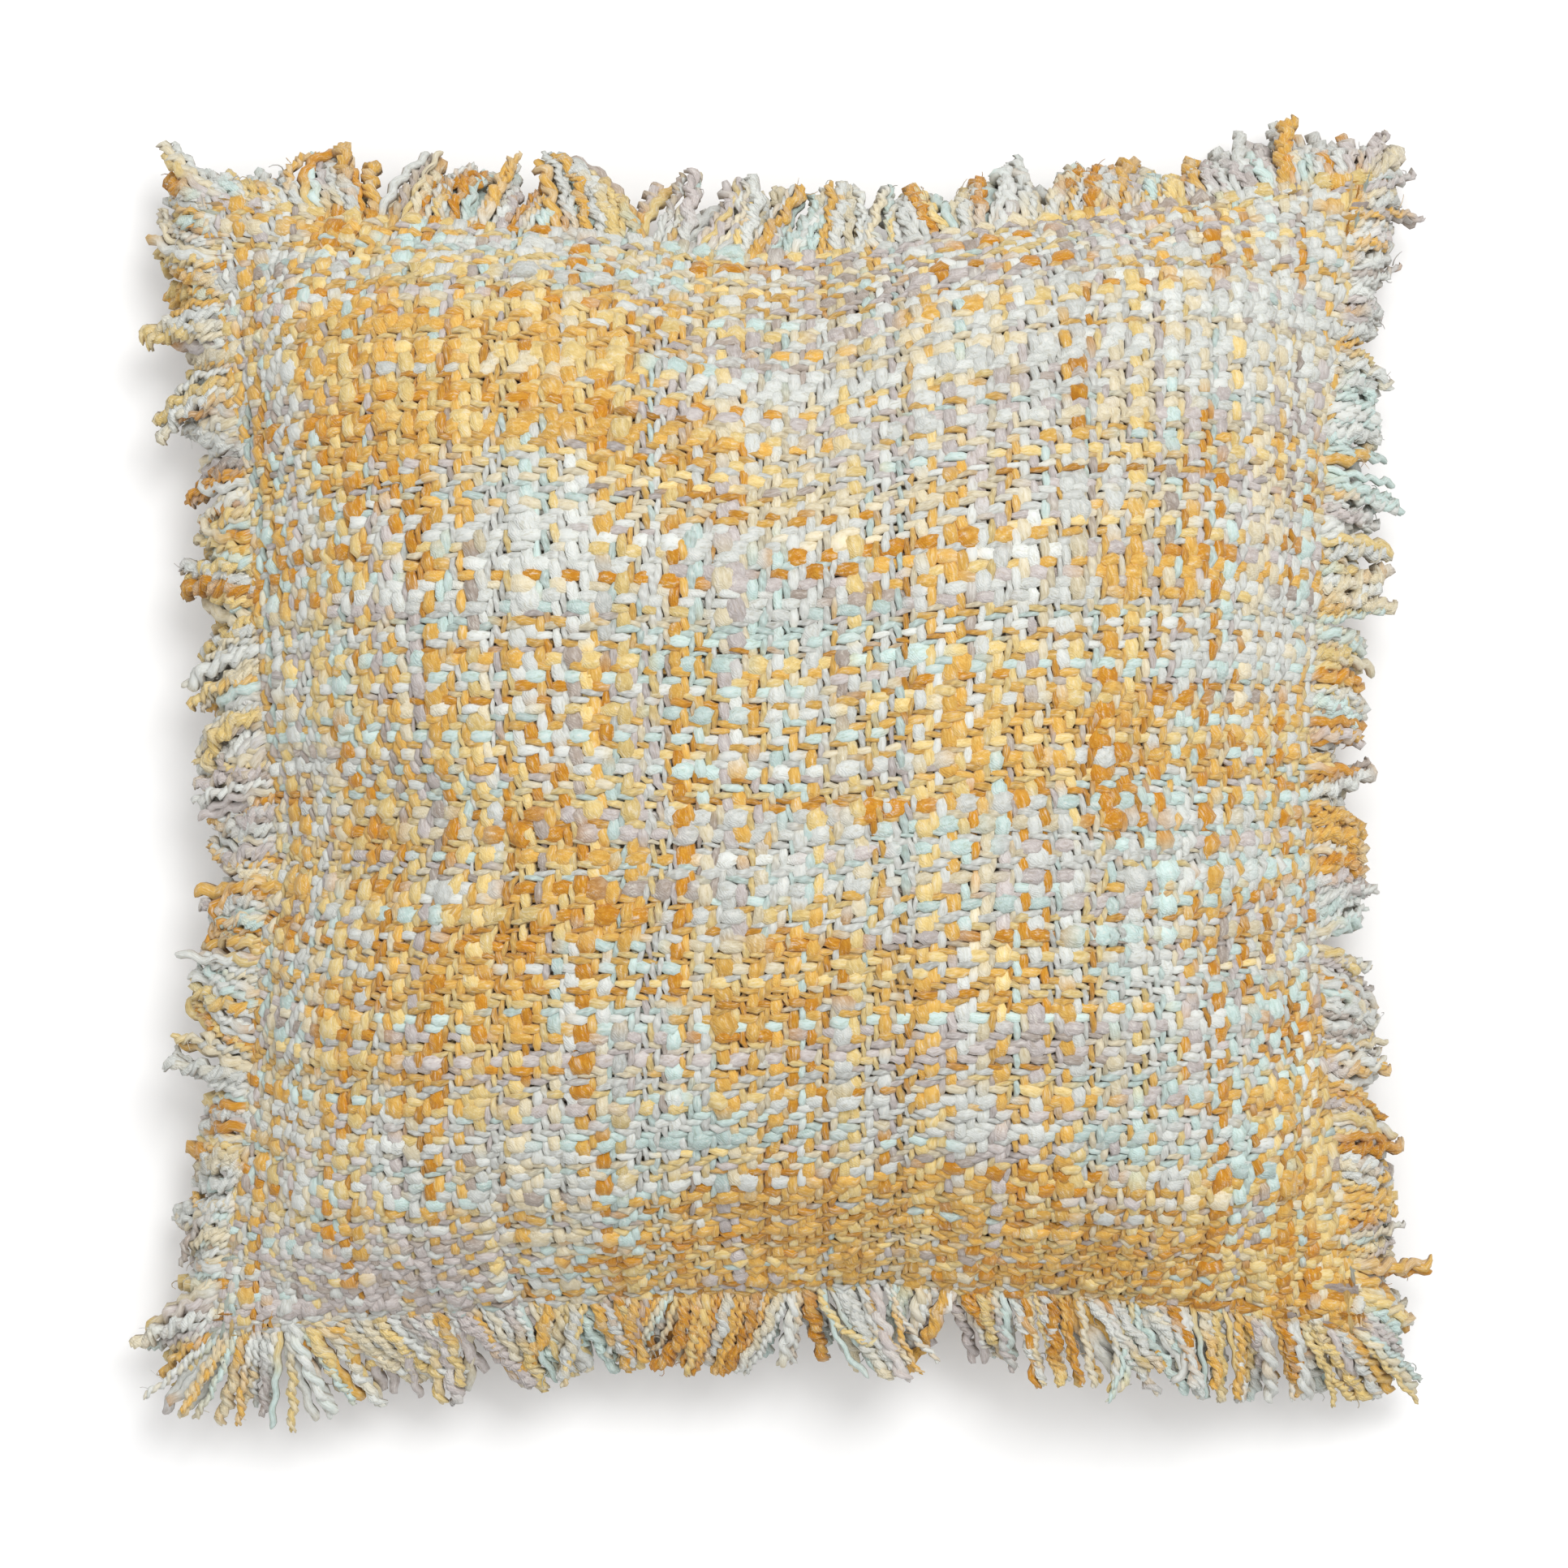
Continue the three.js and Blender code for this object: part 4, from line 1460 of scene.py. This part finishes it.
class CUSHION_OT_back_weave(bpy.types.Operator):
    """Weave the back panel, warp and weft"""

    bl_idname = "cushion.back_weave"
    bl_label = "Back weave"

    def execute(self, context):
        weave = context.scene.cushion_weave
        shop = Workshop.open(context.scene)
        loom = shop.looms["back"]
        for name, count in (("warp", loom.warp.count), ("weft", loom.weft.count)):
            title = f"back_{name}"
            weave_piece(shop.form, loom, name, np.arange(count), weave, title, shop.cloth_yarn)
        return {"FINISHED"}


class CUSHION_OT_fringe(bpy.types.Operator):
    """Fray the yarn ends of both panels on all four sides"""

    bl_idname = "cushion.fringe"
    bl_label = "Fringe"

    def execute(self, context):
        shop = Workshop.open(context.scene)
        fringe = context.scene.cushion_fringe
        for number, side in enumerate(SIDES):
            pile = YarnPile(columns=8)
            for panel, seed in FRINGE_SEEDS.items():
                Strands(shop.form, side, shop.looms[panel], fringe, shop.dyes, seed + number).lay(pile)
            piece = finish_piece(pile.build(f"frayed_ends_{side}", shop.fringe_yarn))
            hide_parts(f"fringe_{side}")
        return {"FINISHED"}


def aim(thing, target):
    thing.rotation_euler = (Vector(target) - thing.location).to_track_quat("-Z", "Y").to_euler()


class CUSHION_OT_stage(bpy.types.Operator):
    """Set the pale floor, the soft lamps and the camera straight above"""

    bl_idname = "cushion.stage"
    bl_label = "Stage"

    SENSOR = 36.0
    IMAGE_MIDDLE_FROM_SEAM = (-0.00215, -0.0080)

    def execute(self, context):
        scene = context.scene
        stage = scene.cushion_stage
        self.floor()
        self.camera(scene, stage)
        self.lamp("key_lamp", stage.key_power)
        self.lamp("fill_lamp", stage.fill_power)
        scene.world = bpy.data.worlds.new("white_room")
        scene.world.use_nodes = True
        sky = scene.world.node_tree.nodes["Background"]
        sky.inputs["Color"].default_value = TINTS["white"]
        sky.inputs["Strength"].default_value = stage.sky
        scene.view_settings.view_transform = "Standard"
        return {"FINISHED"}

    def floor(self):
        shape = bmesh.new()
        bmesh.ops.create_grid(shape, x_segments=1, y_segments=1, size=4)
        mesh = bpy.data.meshes.new("pale_floor")
        shape.to_mesh(mesh)
        shape.free()
        mesh.materials.append(floor_material())
        add_object("pale_floor", mesh)

    def camera(self, scene, stage):
        form = Workshop.open(scene).form
        camera = add_object("camera", bpy.data.cameras.new("camera"))
        middle = np.array(self.IMAGE_MIDDLE_FROM_SEAM) + form.shift[:2]
        camera.location = (middle[0], middle[1], stage.camera_height)
        camera.data.sensor_width = self.SENSOR
        view_width = PHOTO_SIDE / stage.photo_scale
        distance = stage.camera_height - scene.cushion_sizes.seam_height
        camera.data.lens = self.SENSOR * distance / view_width
        scene.camera = camera

    def lamp(self, name, power):
        lamp = bpy.data.lights.new(name, "AREA")
        lamp.energy = power
        lamp.size = LAMPS[name]["side"]
        thing = add_object(name, lamp)
        thing.location = LAMPS[name]["place"]
        aim(thing, LAMP_TARGET)


class CUSHION_PT_panel(bpy.types.Panel):
    """The cushion's sizes, dyes and pieces"""

    bl_idname = "CUSHION_PT_panel"
    bl_label = "Fringed cushion"
    bl_space_type = "VIEW_3D"
    bl_region_type = "UI"
    bl_category = "Cushion"

    def draw(self, context):
        for group_name, group in SETTINGS.items():
            box = self.layout.box()
            box.label(text=group.__name__)
            for name in group.__annotations__:
                box.prop(getattr(context.scene, group_name), name)
        for operator in OPERATORS:
            self.layout.operator(operator.bl_idname)


SETTINGS = {
    "cushion_sizes": CushionSizes,
    "cushion_weave": CushionWeave,
    "cushion_fringe": CushionFringe,
    "cushion_dyes": CushionDyes,
    "cushion_stage": CushionStage,
}
OPERATORS = (
    CUSHION_OT_stage,
    CUSHION_OT_padding,
    CUSHION_OT_front_weave,
    CUSHION_OT_back_weave,
    CUSHION_OT_fringe,
)


def register():
    for group_name, group in SETTINGS.items():
        bpy.utils.register_class(group)
        setattr(bpy.types.Scene, group_name, PointerProperty(type=group))
    for operator in OPERATORS:
        bpy.utils.register_class(operator)
    bpy.utils.register_class(CUSHION_PT_panel)


def unregister():
    bpy.utils.unregister_class(CUSHION_PT_panel)
    for operator in reversed(OPERATORS):
        bpy.utils.unregister_class(operator)
    for group_name, group in SETTINGS.items():
        delattr(bpy.types.Scene, group_name)
        bpy.utils.unregister_class(group)


def main():
    register()
    bpy.ops.cushion.stage()
    bpy.ops.cushion.padding()
    bpy.ops.cushion.front_weave()
    bpy.ops.cushion.back_weave()
    bpy.ops.cushion.fringe()


if __name__ == "__main__":
    main()
